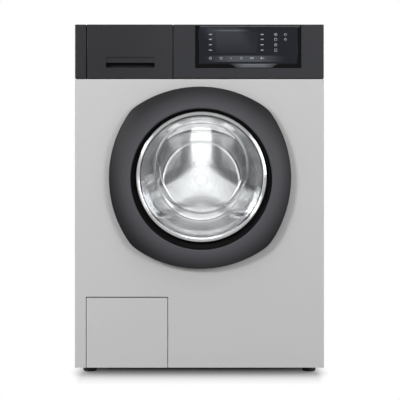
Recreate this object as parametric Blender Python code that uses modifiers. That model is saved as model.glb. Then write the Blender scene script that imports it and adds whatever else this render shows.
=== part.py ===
"""Front loading washing machine, 600 mm wide, modelled as an assembly of closed solids.

X runs to the right of someone who faces the door, the front faces -Y and Z is up.
The origin is on the floor, in the middle of the machine's bounding box. Metres.
"""

from math import acos, atan2, cos, exp, log, pi, radians, sin, sqrt

import bmesh
import bpy
from mathutils import Matrix, Vector

# Cabinet
CABINET_WIDTH = 0.600
CABINET_DEPTH = 0.600          # front panel to rear panel
OVERALL_HEIGHT = 0.850
FLOOR_CLEARANCE = 0.023        # underside of the cabinet above the floor
DOOR_PROUD = 0.030             # door ring in front of the front panel
SPIGOT_PROUD = 0.020           # water connections behind the rear panel
SHEET = 0.001                  # steel sheet of the cabinet
FRONT_RETURN = 0.020           # folded edge of the front panel
SIDE_FLANGE = 0.018            # folded edge of a side panel
SEAM = 0.0015                  # open joint that shows between two covers
FIT = 0.0003                   # gap between two pieces that touch
OVERRUN = 0.004                # how far a cutter runs past a face
WORKTOP_THICKNESS = 0.024
WORKTOP_EDGE = 0.003
TRAY_HEIGHT = 0.045
TRAY_WALL = 0.003

# Service flap and filter
FLAP_FROM_SIDE = 0.028
FLAP_WIDTH = 0.195
FLAP_TOP = 0.192
FLAP_SHEET = 0.002
FLAP_LIP = 0.007               # depth of the flap's folded lip
FLAP_AXIS_INSET = 0.006        # hinge line behind the face and above the lower edge
FLAP_PIN_RADIUS = 0.003
FLAP_PIN_LENGTH = 0.014
FILTER_INSET = 0.097           # filter's axis from the flap's left edge
FILTER_Z = 0.105
CAP_RADIUS = 0.030
CAP_THICKNESS = 0.006
CAP_GRIP_WIDTH = 0.008
CAP_GRIP_DEPTH = 0.009
CAP_PLUG_LENGTH = 0.030
CAP_PLUG_RADIUS = 0.024

# Fascia, drawer and display
FASCIA_HEIGHT = 0.1305
FASCIA_WALL = 0.003
FASCIA_EDGE = 0.002
DRAWER_FROM_SIDE = 0.0285
DRAWER_WIDTH = 0.2074
DRAWER_FRONT_DEPTH = 0.0085
DRAWER_SHELL = 0.0025
DRAWER_EDGE = 0.001
HANDLE_INSET = 0.0465
HANDLE_WIDTH = 0.117
HANDLE_TOP_DROP = 0.079
HANDLE_HEIGHT = 0.0255
HANDLE_LIP_HEIGHT = 0.0135
HANDLE_LIP_THICKNESS = 0.002
HANDLE_LIP_SINK = 0.002
HANDLE_DEPTH = 0.022
BIN_WIDTH = 0.176
BIN_DEPTH = 0.178
BIN_HEIGHT = 0.052
BIN_BOTTOM_DROP = 0.1055
BIN_WALL = 0.002
BIN_RUNNING_GAP = 0.0015
HOUSING_WALL = 0.002
HOUSING_DEPTH = 0.205
DISPLAY_LEFT = -0.010
DISPLAY_WIDTH = 0.2553
DISPLAY_BOTTOM_DROP = 0.105
DISPLAY_DEPTH = 0.012
GLASS_MARGIN = 0.0088
GLASS_BOTTOM_DROP = 0.0946
GLASS_TOP_DROP = 0.007
GLASS_THICKNESS = 0.002
GLASS_SINK = 0.001             # panel glass behind the rim of its frame
BOARD_THICKNESS = 0.0016
BOARD_MARGIN = 0.012
BOARD_PARTS_HEIGHT = 0.006

# Door
DOOR_CENTRE_X = 0.0014
DOOR_CENTRE_Z = 0.4803
RING_HALF = 0.218              # middle of the door to the middle of a side
RING_SIDE_ARC = 0.272          # radius of each of the four bowed sides
RING_CORNER = 0.0016           # how much the corners are eased
RING_OFFSET = 0.0055           # rear edge of the ring in front of the panel
RING_WALL_DEPTH = 0.0135       # straight outer wall of the ring
RING_SKIN = 0.0025
BORE_RADIUS = 0.1686
BORE_SHIFT_X = 0.0032          # bore centre from the ring's centre
BORE_SHIFT_Z = -0.0039
BORE_EDGE = 0.004              # rounding where the dome turns into the bore
FRAME_PLATE = 0.002            # plate that closes the back of the ring
BOWL_CENTRE_X = 0.0048
BOWL_CENTRE_Z = 0.4825
BOWL_RADIUS = 0.150            # outer face of the glass where it leaves its rim
BOWL_TIP_RADIUS = 0.118
BOWL_DEPTH = 0.107
BOWL_RISE = 0.0275             # the deep end lies this much above the rim
BOWL_GLASS = 0.005
BOWL_CORNER = 0.020
BOWL_RIM_WIDTH = 0.006
BOWL_RIM_THICKNESS = 0.004
BEZEL_WIDTH = 0.010
BEZEL_RADIUS = 0.1575
BEZEL_SKIRT = 0.0012
BEZEL_THICKNESS = 0.0035
DOOR_AXIS_X = -0.207
DOOR_AXIS_INSET = 0.0125       # hinge axis in front of the panel
KNUCKLE_RADIUS = 0.0045
KNUCKLE_HALF = 0.018
LUG_LENGTH = 0.010
HINGE_PIN_RADIUS = 0.0025
HINGE_ARM = 0.003
HINGE_WINDOW_MARGIN = 0.0025
HINGE_FOOT_THICKNESS = 0.0025
HINGE_REACH = 0.020            # axis to the foot of the hinge arm
HINGE_FOOT_WIDTH = 0.022
LATCH_X = 0.202
LATCH_HEIGHT = 0.016
LATCH_THICKNESS = 0.004
LATCH_REACH = 0.014            # hook behind the panel's face
LATCH_NOSE = 0.004
LATCH_FOOT = 0.020
LATCH_FOOT_THICKNESS = 0.0015
LATCH_PLAY = 0.003
LOCK_WIDTH = 0.036
LOCK_HEIGHT = 0.090
LOCK_DEPTH = 0.021
PORT_RADIUS = 0.172

# Washing unit
DRUM_SIDE_SPACE = 0.062        # drum wall to the outside of the cabinet
DRUM_TOP_SPACE = 0.1295        # drum wall to the top of the machine
DRUM_SHEET = 0.001
DRUM_FRONT_SETBACK = 0.09
DRUM_BACK_FROM_REAR = 0.23
DRUM_MOUTH_RADIUS = 0.168
DRUM_LIP = 0.008
DRUM_HEM = 0.012
DRUM_DISH = 0.006
LIFTER_CLEARANCE = 0.030       # lifter's end to the end of the drum
LIFTER_HEIGHT = 0.045
LIFTER_FOOT = 0.060
LIFTER_CROWN = 0.018
LIFTER_EDGE = 0.006
LIFTER_COUNT = 3
TUB_GAP = 0.014                # drum to tub
TUB_WALL = 0.003
TUB_RIB = 0.005
TUB_RIB_WIDTH = 0.004
TUB_RIB_COUNT = 3
TUB_BACK_RIB_COUNT = 6
TUB_FRONT_SETBACK = 0.076
TUB_BACK_FROM_REAR = 0.193
TUB_FLANGE = 0.008
TUB_FACE_SETBACK = 0.063
NECK_RADIUS = 0.172
NECK_FRONT_SETBACK = 0.043
HUB_RADIUS = 0.045
HUB_FRONT_FROM_REAR = 0.206
HUB_BACK_FROM_REAR = 0.127
BEARING_RADIUS = 0.031
BEARING_WIDTH = 0.016
SHAFT_RADIUS = 0.0125
SHAFT_BACK_FROM_REAR = 0.101
SPIDER_HUB_RADIUS = 0.036
SPIDER_THICKNESS = 0.018
SPIDER_TIP_THICKNESS = 0.010
SPIDER_ROOT_WIDTH = 0.052
SPIDER_TIP_WIDTH = 0.026
SUMP_HALF_WIDTH = 0.055
SUMP_FRONT_SETBACK = 0.165
SUMP_BACK_FROM_REAR = 0.245
SUMP_BOTTOM = 0.190
SPIGOT_RADIUS = 0.018
SPIGOT_LENGTH = 0.016
SPIGOT_WALL = 0.0025
PULLEY_RADIUS = 0.145
PULLEY_FRONT_FROM_REAR = 0.118
PULLEY_WIDTH = 0.014
PULLEY_WEB = 0.003
PULLEY_RIM = 0.006
PULLEY_HUB = 0.024
PULLEY_HOLE_RADIUS = 0.030
PULLEY_HOLE_COUNT = 6
MOTOR_X = 0.118
MOTOR_Z = 0.168
MOTOR_RADIUS = 0.052
MOTOR_FRONT_FROM_REAR = 0.295
MOTOR_BACK_FROM_REAR = 0.133
MOTOR_SHAFT = 0.005
MOTOR_PULLEY_RADIUS = 0.010
BELT_THICKNESS = 0.002
BELT_WIDTH = 0.011
WEIGHT_THICKNESS = 0.028
WEIGHT_INNER = 0.186
WEIGHT_MARGIN = 0.014          # outside of the front weight inside the tub's crest
TOP_WEIGHT_LEFT = -0.035
TOP_WEIGHT_WIDTH = 0.225
TOP_WEIGHT_FRONT_SETBACK = 0.19
TOP_WEIGHT_FROM_REAR = 0.230
TOP_WEIGHT_TOP_DROP = 0.052
TOP_WEIGHT_BED = 0.0375        # how far the block reaches below the tub's crest
GASKET_WALL = 0.002
GASKET_LIP_RADIUS = 0.1565
CLAMP_WIDTH = 0.007
HEATER_ROD = 0.004
HEATER_SPREAD = 0.030
HEATER_Z = 0.212
HEATER_CLEARANCE = 0.030       # heater's bend to the front of the sump

# Suspension
SPRING_FROM_SIDE = 0.062
SPRING_SETBACK = 0.265
SPRING_TOP_DROP = 0.06
SPRING_LENGTH = 0.130
SPRING_RADIUS = 0.011
SPRING_WIRE = 0.0016
SPRING_TURNS = 6
SPRING_STEPS = 8            # points on each turn of the wire
SPRING_TAIL = 0.016
EAR_THICKNESS = 0.005
EAR_WIDTH = 0.030
DAMPER_FROM_SIDE = 0.095
DAMPER_SETBACK = 0.285
DAMPER_RADIUS = 0.014
DAMPER_BORE = 0.0085
DAMPER_ROD = 0.008
DAMPER_TOP = 0.200
DAMPER_ROD_BOTTOM = 0.120
DAMPER_ROD_TOP = 0.296
DAMPER_FOOT = 0.036

# Water and electrical parts
PUMP_HOUSING_RADIUS = 0.034
PUMP_FRONT_SETBACK = 0.033
PUMP_VOLUTE_SETBACK = 0.13
PUMP_VOLUTE_RADIUS = 0.042
PUMP_VOLUTE_LENGTH = 0.030
PUMP_MOTOR_RADIUS = 0.026
PUMP_MOTOR_LENGTH = 0.050
HOSE_RADIUS = 0.017
DRAIN_HOSE_RADIUS = 0.011
INLET_HOSE_RADIUS = 0.007
DRAIN_FROM_SIDE = 0.085
DRAIN_DROP = 0.07
DRAIN_SPIGOT_RADIUS = 0.012
VALVE_FROM_SIDE = 0.100
VALVE_DROP = 0.065
VALVE_SPIGOT_RADIUS = 0.013
VALVE_BODY_RADIUS = 0.016
VALVE_BODY_LENGTH = 0.045
CONNECTION_FLANGE = 0.022
CONNECTION_PLATE = 0.003
CONNECTION_BORE_SHARE = 0.65
GLAND_FROM_SIDE = 0.050
GLAND_Z = 0.620
GLAND_RADIUS = 0.009
GLAND_PROUD = 0.012
COVER_RADIUS = 0.205
COVER_BULGE = 0.010
COVER_Z = 0.440
SERVICE_RADIUS = 0.190
BELLOWS_FROM_SIDE = 0.135
BELLOWS_SETBACK = 0.175
BELLOWS_RADIUS = 0.022
BELLOWS_FOLD = 0.004
BELLOWS_FOLDS = 4

# Feet
FOOT_FROM_SIDE = 0.026
FRONT_FOOT_SETBACK = 0.100
REAR_FOOT_INSET = 0.036
FOOT_RADIUS = 0.017
FOOT_PAD = 0.016
FOOT_EDGE = 0.002
FOOT_STEM = 0.005

# Fineness of the round shapes, in sides
MERGE = 0.00001
FINE = 32
RING_SIDES = 48
ROUND = 24
MEDIUM = 20
SMALL = 12
TINY = 8

# Planes that many pieces share
FRONT_Y = -(CABINET_DEPTH + SPIGOT_PROUD - DOOR_PROUD) / 2
REAR_Y = FRONT_Y + CABINET_DEPTH
HALF_WIDTH = CABINET_WIDTH / 2
DRAWER_LEFT = DRAWER_FROM_SIDE - HALF_WIDTH
HANDLE_LEFT = DRAWER_LEFT + HANDLE_INSET
FLAP_LEFT = FLAP_FROM_SIDE - HALF_WIDTH
FASCIA_BOTTOM = OVERALL_HEIGHT - FASCIA_HEIGHT
PANEL_TOP = FASCIA_BOTTOM - SEAM
WORKTOP_BOTTOM = OVERALL_HEIGHT - WORKTOP_THICKNESS
BODY_FRONT_Y = FRONT_Y + FRONT_RETURN + FIT
DRUM_RADIUS = min(HALF_WIDTH - DRUM_SIDE_SPACE, OVERALL_HEIGHT - BOWL_CENTRE_Z - DRUM_TOP_SPACE)
TUB_RADIUS = DRUM_RADIUS + TUB_GAP
TUB_OUTER = TUB_RADIUS + TUB_WALL
TUB_CREST = TUB_OUTER + TUB_RIB
AXIS_X = BOWL_CENTRE_X
AXIS_Z = BOWL_CENTRE_Z
AXIS = (AXIS_X, 0, AXIS_Z)
DOOR_AXIS_Y = FRONT_Y - DOOR_AXIS_INSET
FLAP_AXIS_Y = FRONT_Y + FLAP_AXIS_INSET
FLAP_AXIS_Z = FLOOR_CLEARANCE + FLAP_AXIS_INSET
FLAP_RIGHT = FLAP_LEFT + FLAP_WIDTH
DRAWER_RIGHT = DRAWER_LEFT + DRAWER_WIDTH
BIN_CENTRE_X = DRAWER_LEFT + DRAWER_WIDTH / 2
POCKET_FLOOR_Y = FRONT_Y + DRAWER_FRONT_DEPTH + FIT
HOUSING_FRONT_Y = BODY_FRONT_Y
PULLEY_FRONT_Y = REAR_Y - PULLEY_FRONT_FROM_REAR
PULLEY_BACK_Y = PULLEY_FRONT_Y + PULLEY_WIDTH
TRAY_TOP = FLOOR_CLEARANCE + TRAY_HEIGHT
TRAY_FLOOR = FLOOR_CLEARANCE + TRAY_WALL
RING_BACK_Y = FRONT_Y - RING_OFFSET
RING_WALL_Y = RING_BACK_Y - RING_WALL_DEPTH
RING_DOME = DOOR_PROUD - RING_OFFSET - RING_WALL_DEPTH
PLATE_FRONT_Y = RING_BACK_Y - FRAME_PLATE
NECK_OUTER = NECK_RADIUS + TUB_WALL
SLEEVE_RADIUS = NECK_OUTER + FIT + GASKET_WALL / 2
HEM_RADIUS = DRUM_RADIUS - DRUM_SHEET - FIT - DRUM_SHEET / 2
DRUM_FRONT_Y = FRONT_Y + DRUM_FRONT_SETBACK
TUB_FRONT_Y = FRONT_Y + TUB_FRONT_SETBACK
TUB_FACE_Y = FRONT_Y + TUB_FACE_SETBACK
NECK_FRONT_Y = FRONT_Y + NECK_FRONT_SETBACK
SUMP_FRONT_Y = FRONT_Y + SUMP_FRONT_SETBACK
TOP_WEIGHT_FRONT_Y = FRONT_Y + TOP_WEIGHT_FRONT_SETBACK
PUMP_FRONT_Y = FRONT_Y + PUMP_FRONT_SETBACK
PUMP_VOLUTE_Y = FRONT_Y + PUMP_VOLUTE_SETBACK
BELLOWS_Y = FRONT_Y + BELLOWS_SETBACK
DRUM_BACK_Y = REAR_Y - DRUM_BACK_FROM_REAR
TUB_BACK_Y = REAR_Y - TUB_BACK_FROM_REAR
HUB_FRONT_Y = REAR_Y - HUB_FRONT_FROM_REAR
HUB_BACK_Y = REAR_Y - HUB_BACK_FROM_REAR
SHAFT_BACK_Y = REAR_Y - SHAFT_BACK_FROM_REAR
SUMP_BACK_Y = REAR_Y - SUMP_BACK_FROM_REAR
MOTOR_FRONT_Y = REAR_Y - MOTOR_FRONT_FROM_REAR
MOTOR_BACK_Y = REAR_Y - MOTOR_BACK_FROM_REAR
HANDLE_TOP = OVERALL_HEIGHT - HANDLE_TOP_DROP
BIN_BOTTOM = OVERALL_HEIGHT - BIN_BOTTOM_DROP
DISPLAY_BOTTOM = OVERALL_HEIGHT - DISPLAY_BOTTOM_DROP
GLASS_BOTTOM = OVERALL_HEIGHT - GLASS_BOTTOM_DROP
GLASS_TOP = OVERALL_HEIGHT - GLASS_TOP_DROP
TOP_WEIGHT_TOP = OVERALL_HEIGHT - TOP_WEIGHT_TOP_DROP
SPRING_TOP = OVERALL_HEIGHT - SPRING_TOP_DROP
DRAIN_Z = OVERALL_HEIGHT - DRAIN_DROP
VALVE_Z = OVERALL_HEIGHT - VALVE_DROP
HANDLE_BOTTOM = HANDLE_TOP - HANDLE_HEIGHT
TOP_WEIGHT_BACK_Y = REAR_Y - TOP_WEIGHT_FROM_REAR
TOP_WEIGHT_BOTTOM = BOWL_CENTRE_Z + TUB_CREST - TOP_WEIGHT_BED
LIFTER_LENGTH = DRUM_BACK_Y - DRUM_FRONT_Y - 2 * LIFTER_CLEARANCE
HEATER_LENGTH = SUMP_BACK_Y - SUMP_FRONT_Y - HEATER_CLEARANCE
WEIGHT_OUTER = TUB_CREST - WEIGHT_MARGIN
SPRING_X = HALF_WIDTH - SPRING_FROM_SIDE
SPRING_Y = FRONT_Y + SPRING_SETBACK
DAMPER_X = HALF_WIDTH - DAMPER_FROM_SIDE
DAMPER_Y = FRONT_Y + DAMPER_SETBACK
FOOT_X = HALF_WIDTH - FOOT_FROM_SIDE
GLAND_X = HALF_WIDTH - GLAND_FROM_SIDE
DRAIN_X = DRAIN_FROM_SIDE - HALF_WIDTH
VALVE_X = HALF_WIDTH - VALVE_FROM_SIDE
FILTER_X = FLAP_LEFT + FILTER_INSET
GLASS_LEFT = DISPLAY_LEFT + GLASS_MARGIN
GLASS_WIDTH = DISPLAY_WIDTH - 2 * GLASS_MARGIN
BELLOWS_X = BELLOWS_FROM_SIDE - HALF_WIDTH

# Shapes given as shares of the distance they span
DOME_SHARES = (0.10, 0.28, 0.52, 0.80)
DOME_FRONT_SHARE = 0.96
GASKET_SHARES = ((1, 0), (1, 0.26), (0.34, 0.34), (0.90, 0.47), (0.92, 0.56), (0.22, 0.66),
                 (0.78, 0.77), (0.04, 0.86), (0, 0.94), (0.86, 1))
DISH_SHARE = 0.55
CHIP_SHARES = (0.2, 0.5, 0.8)
PUMP_LEG_SHARE = 0.8

MATERIALS = {
    "silver paint": ((0.60, 0.60, 0.60), 0.45, 0.0),
    "galvanised": ((0.55, 0.56, 0.57), 0.40, 0.8),
    "anthracite": ((0.040, 0.042, 0.048), 0.45, 0.0),
    "black": ((0.012, 0.012, 0.013), 0.35, 0.0),
    "panel glass": ((0.018, 0.020, 0.026), 0.08, 0.0),
    "clear glass": ((0.85, 0.88, 0.88), 0.05, 0.0),
    "chrome": ((0.80, 0.80, 0.82), 0.10, 1.0),
    "stainless": ((0.62, 0.62, 0.63), 0.25, 1.0),
    "cast aluminium": ((0.55, 0.55, 0.56), 0.50, 1.0),
    "steel": ((0.45, 0.45, 0.46), 0.35, 1.0),
    "grey plastic": ((0.45, 0.46, 0.47), 0.50, 0.0),
    "white plastic": ((0.80, 0.80, 0.79), 0.45, 0.0),
    "rubber": ((0.10, 0.10, 0.105), 0.75, 0.0),
    "concrete": ((0.36, 0.35, 0.33), 0.90, 0.0),
    "circuit board": ((0.03, 0.16, 0.07), 0.50, 0.0),
    "worktop": ((0.62, 0.62, 0.62), 0.40, 0.0),
}

AXIS_TURN = {
    "X": Matrix(((0, 0, 1), (1, 0, 0), (0, 1, 0))).to_4x4(),
    "Y": Matrix.Rotation(-pi / 2, 4, "X"),
    "Z": Matrix.Identity(4),
}
SLAB_TURN = {
    "X": Matrix(((0, 0, 1), (1, 0, 0), (0, 1, 0))).to_4x4(),
    "Y": Matrix.Rotation(pi / 2, 4, "X"),
    "Z": Matrix.Identity(4),
}


def clear_scene():
    """Empty the file that the script runs in."""
    for obj in list(bpy.data.objects):
        bpy.data.objects.remove(obj, do_unlink=True)
    for collection in list(bpy.data.collections):
        bpy.data.collections.remove(collection)


def make_collection(name):
    """Add a collection to the scene."""
    collection = bpy.data.collections.new(name)
    bpy.context.scene.collection.children.link(collection)
    return collection


def paint(obj, kind):
    """Give the object a Principled material of its own."""
    colour, roughness, metallic = MATERIALS[kind]
    material = bpy.data.materials.new(f"{obj.name} {kind}")
    material.use_nodes = True
    shader = material.node_tree.nodes["Principled BSDF"]
    shader.inputs["Base Color"].default_value = (*colour, 1.0)
    shader.inputs["Roughness"].default_value = roughness
    shader.inputs["Metallic"].default_value = metallic
    material.diffuse_color = (*colour, 1.0)
    obj.data.materials.clear()
    obj.data.materials.append(material)
    return obj


def add_mesh(name, bm):
    """Turn a bmesh into an object of the machine."""
    mesh = bpy.data.meshes.new(name)
    bm.to_mesh(mesh)
    bm.free()
    obj = bpy.data.objects.new(name, mesh)
    PARTS.objects.link(obj)
    return obj


def settle(obj):
    """Replace the object by its evaluated mesh, welded and in world coordinates."""
    bpy.context.view_layer.update()
    depsgraph = bpy.context.evaluated_depsgraph_get()
    mesh = bpy.data.meshes.new_from_object(obj.evaluated_get(depsgraph))
    mesh.transform(obj.matrix_world)
    bm = bmesh.new()
    bm.from_mesh(mesh)
    bmesh.ops.remove_doubles(bm, verts=bm.verts, dist=MERGE)
    bm.to_mesh(mesh)
    bm.free()
    mesh.shade_smooth()
    mesh.set_sharp_from_angle(angle=radians(30))
    name = obj.name
    collection = obj.users_collection[0]
    bpy.data.objects.remove(obj, do_unlink=True)
    solid = bpy.data.objects.new(name, mesh)
    collection.objects.link(solid)
    return solid


def combine(obj, tools, operation):
    """Join the tools to the object or cut them out of it, and put the tools with the cutters."""
    for tool in tools:
        modifier = obj.modifiers.new(operation.title(), "BOOLEAN")
        modifier.operation = operation
        modifier.solver = "EXACT"
        modifier.object = tool
        PARTS.objects.unlink(tool)
        CUTTERS.objects.link(tool)
        tool.hide_render = True
        tool.display_type = "WIRE"
    return settle(obj)


def cut(obj, *tools):
    """Cut the tools out of the object."""
    return combine(obj, tools, "DIFFERENCE")


def join(obj, *tools):
    """Fuse the tools with the object."""
    return combine(obj, tools, "UNION")


def box(name, low, high):
    """A block between two opposite corners."""
    low = Vector(low)
    high = Vector(high)
    bm = bmesh.new()
    bmesh.ops.create_cube(bm, size=1.0)
    bmesh.ops.scale(bm, vec=high - low, verts=bm.verts)
    bmesh.ops.translate(bm, vec=(low + high) / 2, verts=bm.verts)
    return add_mesh(name, bm)


def rod(name, start, end, radius, end_radius=None, sides=SMALL):
    """A cylinder or a cone between two points."""
    start = Vector(start)
    end = Vector(end)
    along = end - start
    bm = bmesh.new()
    bmesh.ops.create_cone(bm, cap_ends=True, segments=sides, radius1=radius,
                          radius2=end_radius or radius, depth=along.length)
    turn = Vector((0, 0, 1)).rotation_difference(along).to_matrix().to_4x4()
    bmesh.ops.transform(bm, matrix=Matrix.Translation((start + end) / 2) @ turn, verts=bm.verts)
    return add_mesh(name, bm)


def turned(name, profile, centre=(0, 0, 0), axis="Y", steps=ROUND, ring=True, wall=0.0):
    """Turn a profile of (radius, place along the axis) points into a solid.

    A ring is a closed profile. Otherwise the profile runs from axis to axis, or is an
    open line that gets its thickness from wall.
    """
    turning = sum(a[0] * b[1] - b[0] * a[1] for a, b in zip(profile, profile[1:] + profile[:1]))
    points = profile[::-1] if turning > 0 else profile
    bm = bmesh.new()
    verts = [bm.verts.new((radius, 0, along)) for radius, along in points]
    for start, end in zip(verts, verts[1:]):
        bm.edges.new((start, end))
    if ring:
        bm.edges.new((verts[-1], verts[0]))
    obj = add_mesh(name, bm)
    screw = obj.modifiers.new("Turn", "SCREW")
    screw.angle = 2 * pi
    screw.steps = steps
    screw.render_steps = steps
    screw.use_merge_vertices = True
    screw.merge_threshold = MERGE
    if wall:
        shell = obj.modifiers.new("Wall", "SOLIDIFY")
        shell.thickness = wall
        shell.offset = 0
        shell.use_even_offset = True
    obj.matrix_world = Matrix.Translation(centre) @ AXIS_TURN[axis]
    return settle(obj)


def slab(name, outlines, low, high, axis="Y"):
    """Extrude closed flat outlines from low to high along an axis."""
    curve = bpy.data.curves.new(name, "CURVE")
    curve.dimensions = "2D"
    curve.fill_mode = "BOTH"
    curve.extrude = (high - low) / 2
    for outline in outlines:
        spline = curve.splines.new("POLY")
        spline.points.add(len(outline) - 1)
        for point, (u, v) in zip(spline.points, outline):
            point.co = (u, v, 0, 1)
        spline.use_cyclic_u = True
    obj = bpy.data.objects.new(name, curve)
    PARTS.objects.link(obj)
    middle = {"X": (1, 0, 0), "Y": (0, 1, 0), "Z": (0, 0, 1)}[axis]
    place = Matrix.Translation(Vector(middle) * (low + high) / 2)
    obj.matrix_world = place @ SLAB_TURN[axis]
    return settle(obj)


def smooth_path(points, spacing):
    """Points along a smooth curve through the route's own points, with straight ends."""
    route = [Vector(point) for point in points]
    path = [route[0]]
    for before, start, end, after in zip(route, route[1:], route[2:], route[3:]):
        count = max(2, round((end - start).length / spacing))
        for i in range(count):
            t = i / count
            path.append(((2 * start) + (end - before) * t
                         + (2 * before - 5 * start + 4 * end - after) * t ** 2
                         + (3 * start - before - 3 * end + after) * t ** 3) / 2)
    return path + [route[-2], route[-1]]


def tube(name, points, radius, resolution=2):
    """A round bar along a list of points, closed at both ends."""
    curve = bpy.data.curves.new(name, "CURVE")
    curve.dimensions = "3D"
    curve.bevel_depth = radius
    curve.bevel_resolution = resolution
    curve.use_fill_caps = True
    spline = curve.splines.new("POLY")
    spline.points.add(len(points) - 1)
    for point, place in zip(spline.points, points):
        point.co = (*place, 1)
    obj = bpy.data.objects.new(name, curve)
    PARTS.objects.link(obj)
    obj = settle(obj)
    bm = bmesh.new()
    bm.from_mesh(obj.data)
    bmesh.ops.holes_fill(bm, edges=bm.edges)
    bmesh.ops.recalc_face_normals(bm, faces=bm.faces)
    bm.to_mesh(obj.data)
    bm.free()
    return obj


def ease(obj, width, segments=2, angle=50):
    """Round the edges that are sharper than the angle."""
    bevel = obj.modifiers.new("Edge", "BEVEL")
    bevel.width = width
    bevel.segments = segments
    bevel.limit_method = "ANGLE"
    bevel.angle_limit = radians(angle)
    return settle(obj)


def arc(centre, radius, start, end, count):
    """Points of a round corner, from one angle in degrees to another."""
    angles = [radians(start + (end - start) * i / count) for i in range(count + 1)]
    return [(centre[0] + radius * cos(a), centre[1] + radius * sin(a)) for a in angles]


def circle(centre, radius, sides):
    """Corners of a regular outline."""
    return arc(centre, radius, 0, 360, sides)[:-1]


def pivot(name, place, parent=None):
    """An empty on a joint's axis."""
    empty = bpy.data.objects.new(name, None)
    empty.empty_display_size = KNUCKLE_HALF
    PARTS.objects.link(empty)
    empty.parent = parent
    base = parent["place"] if parent else (0, 0, 0)
    empty["place"] = place
    empty.location = Vector(place) - Vector(base)
    return empty


def carry(empty, *pieces):
    """Hang pieces on an empty, with their origins on its axis."""
    place = Vector(empty["place"])
    for piece in pieces:
        piece.data.transform(Matrix.Translation(-place))
        piece.parent = empty


def base_tray():
    """Open tray that carries the pump, the dampers and the feet."""
    side = HALF_WIDTH - SHEET - FIT
    back = REAR_Y - SHEET - FIT
    tray = box("base_tray", (-side, BODY_FRONT_Y, FLOOR_CLEARANCE), (side, back, TRAY_TOP))
    hollow = box("tray hollow", (-side + TRAY_WALL, BODY_FRONT_Y + TRAY_WALL, TRAY_FLOOR),
                 (side - TRAY_WALL, back - TRAY_WALL, TRAY_TOP + OVERRUN))
    flap_bay = box("flap bay", (FLAP_LEFT, BODY_FRONT_Y - OVERRUN, TRAY_FLOOR + TRAY_WALL),
                   (FLAP_RIGHT, BODY_FRONT_Y + TRAY_WALL + OVERRUN, TRAY_TOP + OVERRUN))
    holes = [rod("foot hole", (x, y, FLOOR_CLEARANCE - OVERRUN), (x, y, TRAY_FLOOR + OVERRUN),
                 FOOT_STEM + FIT) for x, y in foot_places()]
    return paint(cut(tray, hollow, flap_bay, *holes), "galvanised")


def foot_places():
    """Where the four feet stand."""
    return [(x, y) for x in (-FOOT_X, FOOT_X)
            for y in (FRONT_Y + FRONT_FOOT_SETBACK, REAR_Y - REAR_FOOT_INSET)]


def side_panel(name, side):
    """Sheet side with folded flanges and the bracket that a suspension spring hangs from."""
    outer = side * HALF_WIDTH
    inner = side * (HALF_WIDTH - SHEET)
    lip = side * (HALF_WIDTH - SIDE_FLANGE)
    front = BODY_FRONT_Y
    back = REAR_Y - SHEET - FIT
    outline = [(outer, front), (lip, front), (lip, front + SHEET), (inner, front + SHEET),
               (inner, back - SHEET), (lip, back - SHEET), (lip, back), (outer, back)]
    low = TRAY_TOP + FIT
    panel = slab(name, [outline], low, WORKTOP_BOTTOM - FIT, "Z")
    skirt = box("skirt", (min(outer, inner), front, FLOOR_CLEARANCE),
                (max(outer, inner), back, TRAY_TOP + OVERRUN))
    hook = side * (SPRING_X - SPRING_RADIUS)
    root = inner + side * SHEET / 2
    bracket = box("bracket", (min(root, hook), SPRING_Y - EAR_WIDTH / 2, SPRING_TOP),
                  (max(root, hook), SPRING_Y + EAR_WIDTH / 2, SPRING_TOP + SHEET * 3))
    return paint(join(panel, skirt, bracket), "silver paint")


def rear_panel():
    """Flat back with its round service opening and the holes of the connections."""
    side = HALF_WIDTH
    panel = box("rear_panel", (-side, REAR_Y - SHEET, FLOOR_CLEARANCE),
                (side, REAR_Y, WORKTOP_BOTTOM - FIT))
    front = REAR_Y - SHEET - OVERRUN
    back = REAR_Y + OVERRUN
    opening = rod("service opening", (0, front, COVER_Z), (0, back, COVER_Z), SERVICE_RADIUS, sides=ROUND)
    drain = rod("drain hole", (DRAIN_X, front, DRAIN_Z), (DRAIN_X, back, DRAIN_Z),
                DRAIN_SPIGOT_RADIUS + FIT)
    valve = rod("valve hole", (VALVE_X, front, VALVE_Z), (VALVE_X, back, VALVE_Z),
                VALVE_SPIGOT_RADIUS + FIT)
    gland = rod("gland hole", (GLAND_X, front, GLAND_Z), (GLAND_X, back, GLAND_Z), GLAND_RADIUS + FIT)
    return paint(cut(panel, opening, drain, valve, gland), "silver paint")


def rear_cover():
    """Pressed cover over the service opening."""
    back = REAR_Y + FIT
    slope = COVER_RADIUS - COVER_BULGE * 2
    profile = [(0, back + COVER_BULGE), (slope - COVER_BULGE, back + COVER_BULGE), (slope, back + SHEET),
               (COVER_RADIUS, back + SHEET), (COVER_RADIUS, back), (slope - SHEET, back),
               (slope - COVER_BULGE - SHEET, back + COVER_BULGE - SHEET), (0, back + COVER_BULGE - SHEET)]
    return paint(turned("rear_cover", profile, (0, 0, COVER_Z), ring=False), "galvanised")


def worktop():
    """Removable top with eased edges."""
    top = box("worktop", (-HALF_WIDTH, BODY_FRONT_Y, WORKTOP_BOTTOM), (HALF_WIDTH, REAR_Y, OVERALL_HEIGHT))
    return paint(ease(top, WORKTOP_EDGE), "worktop")


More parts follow.
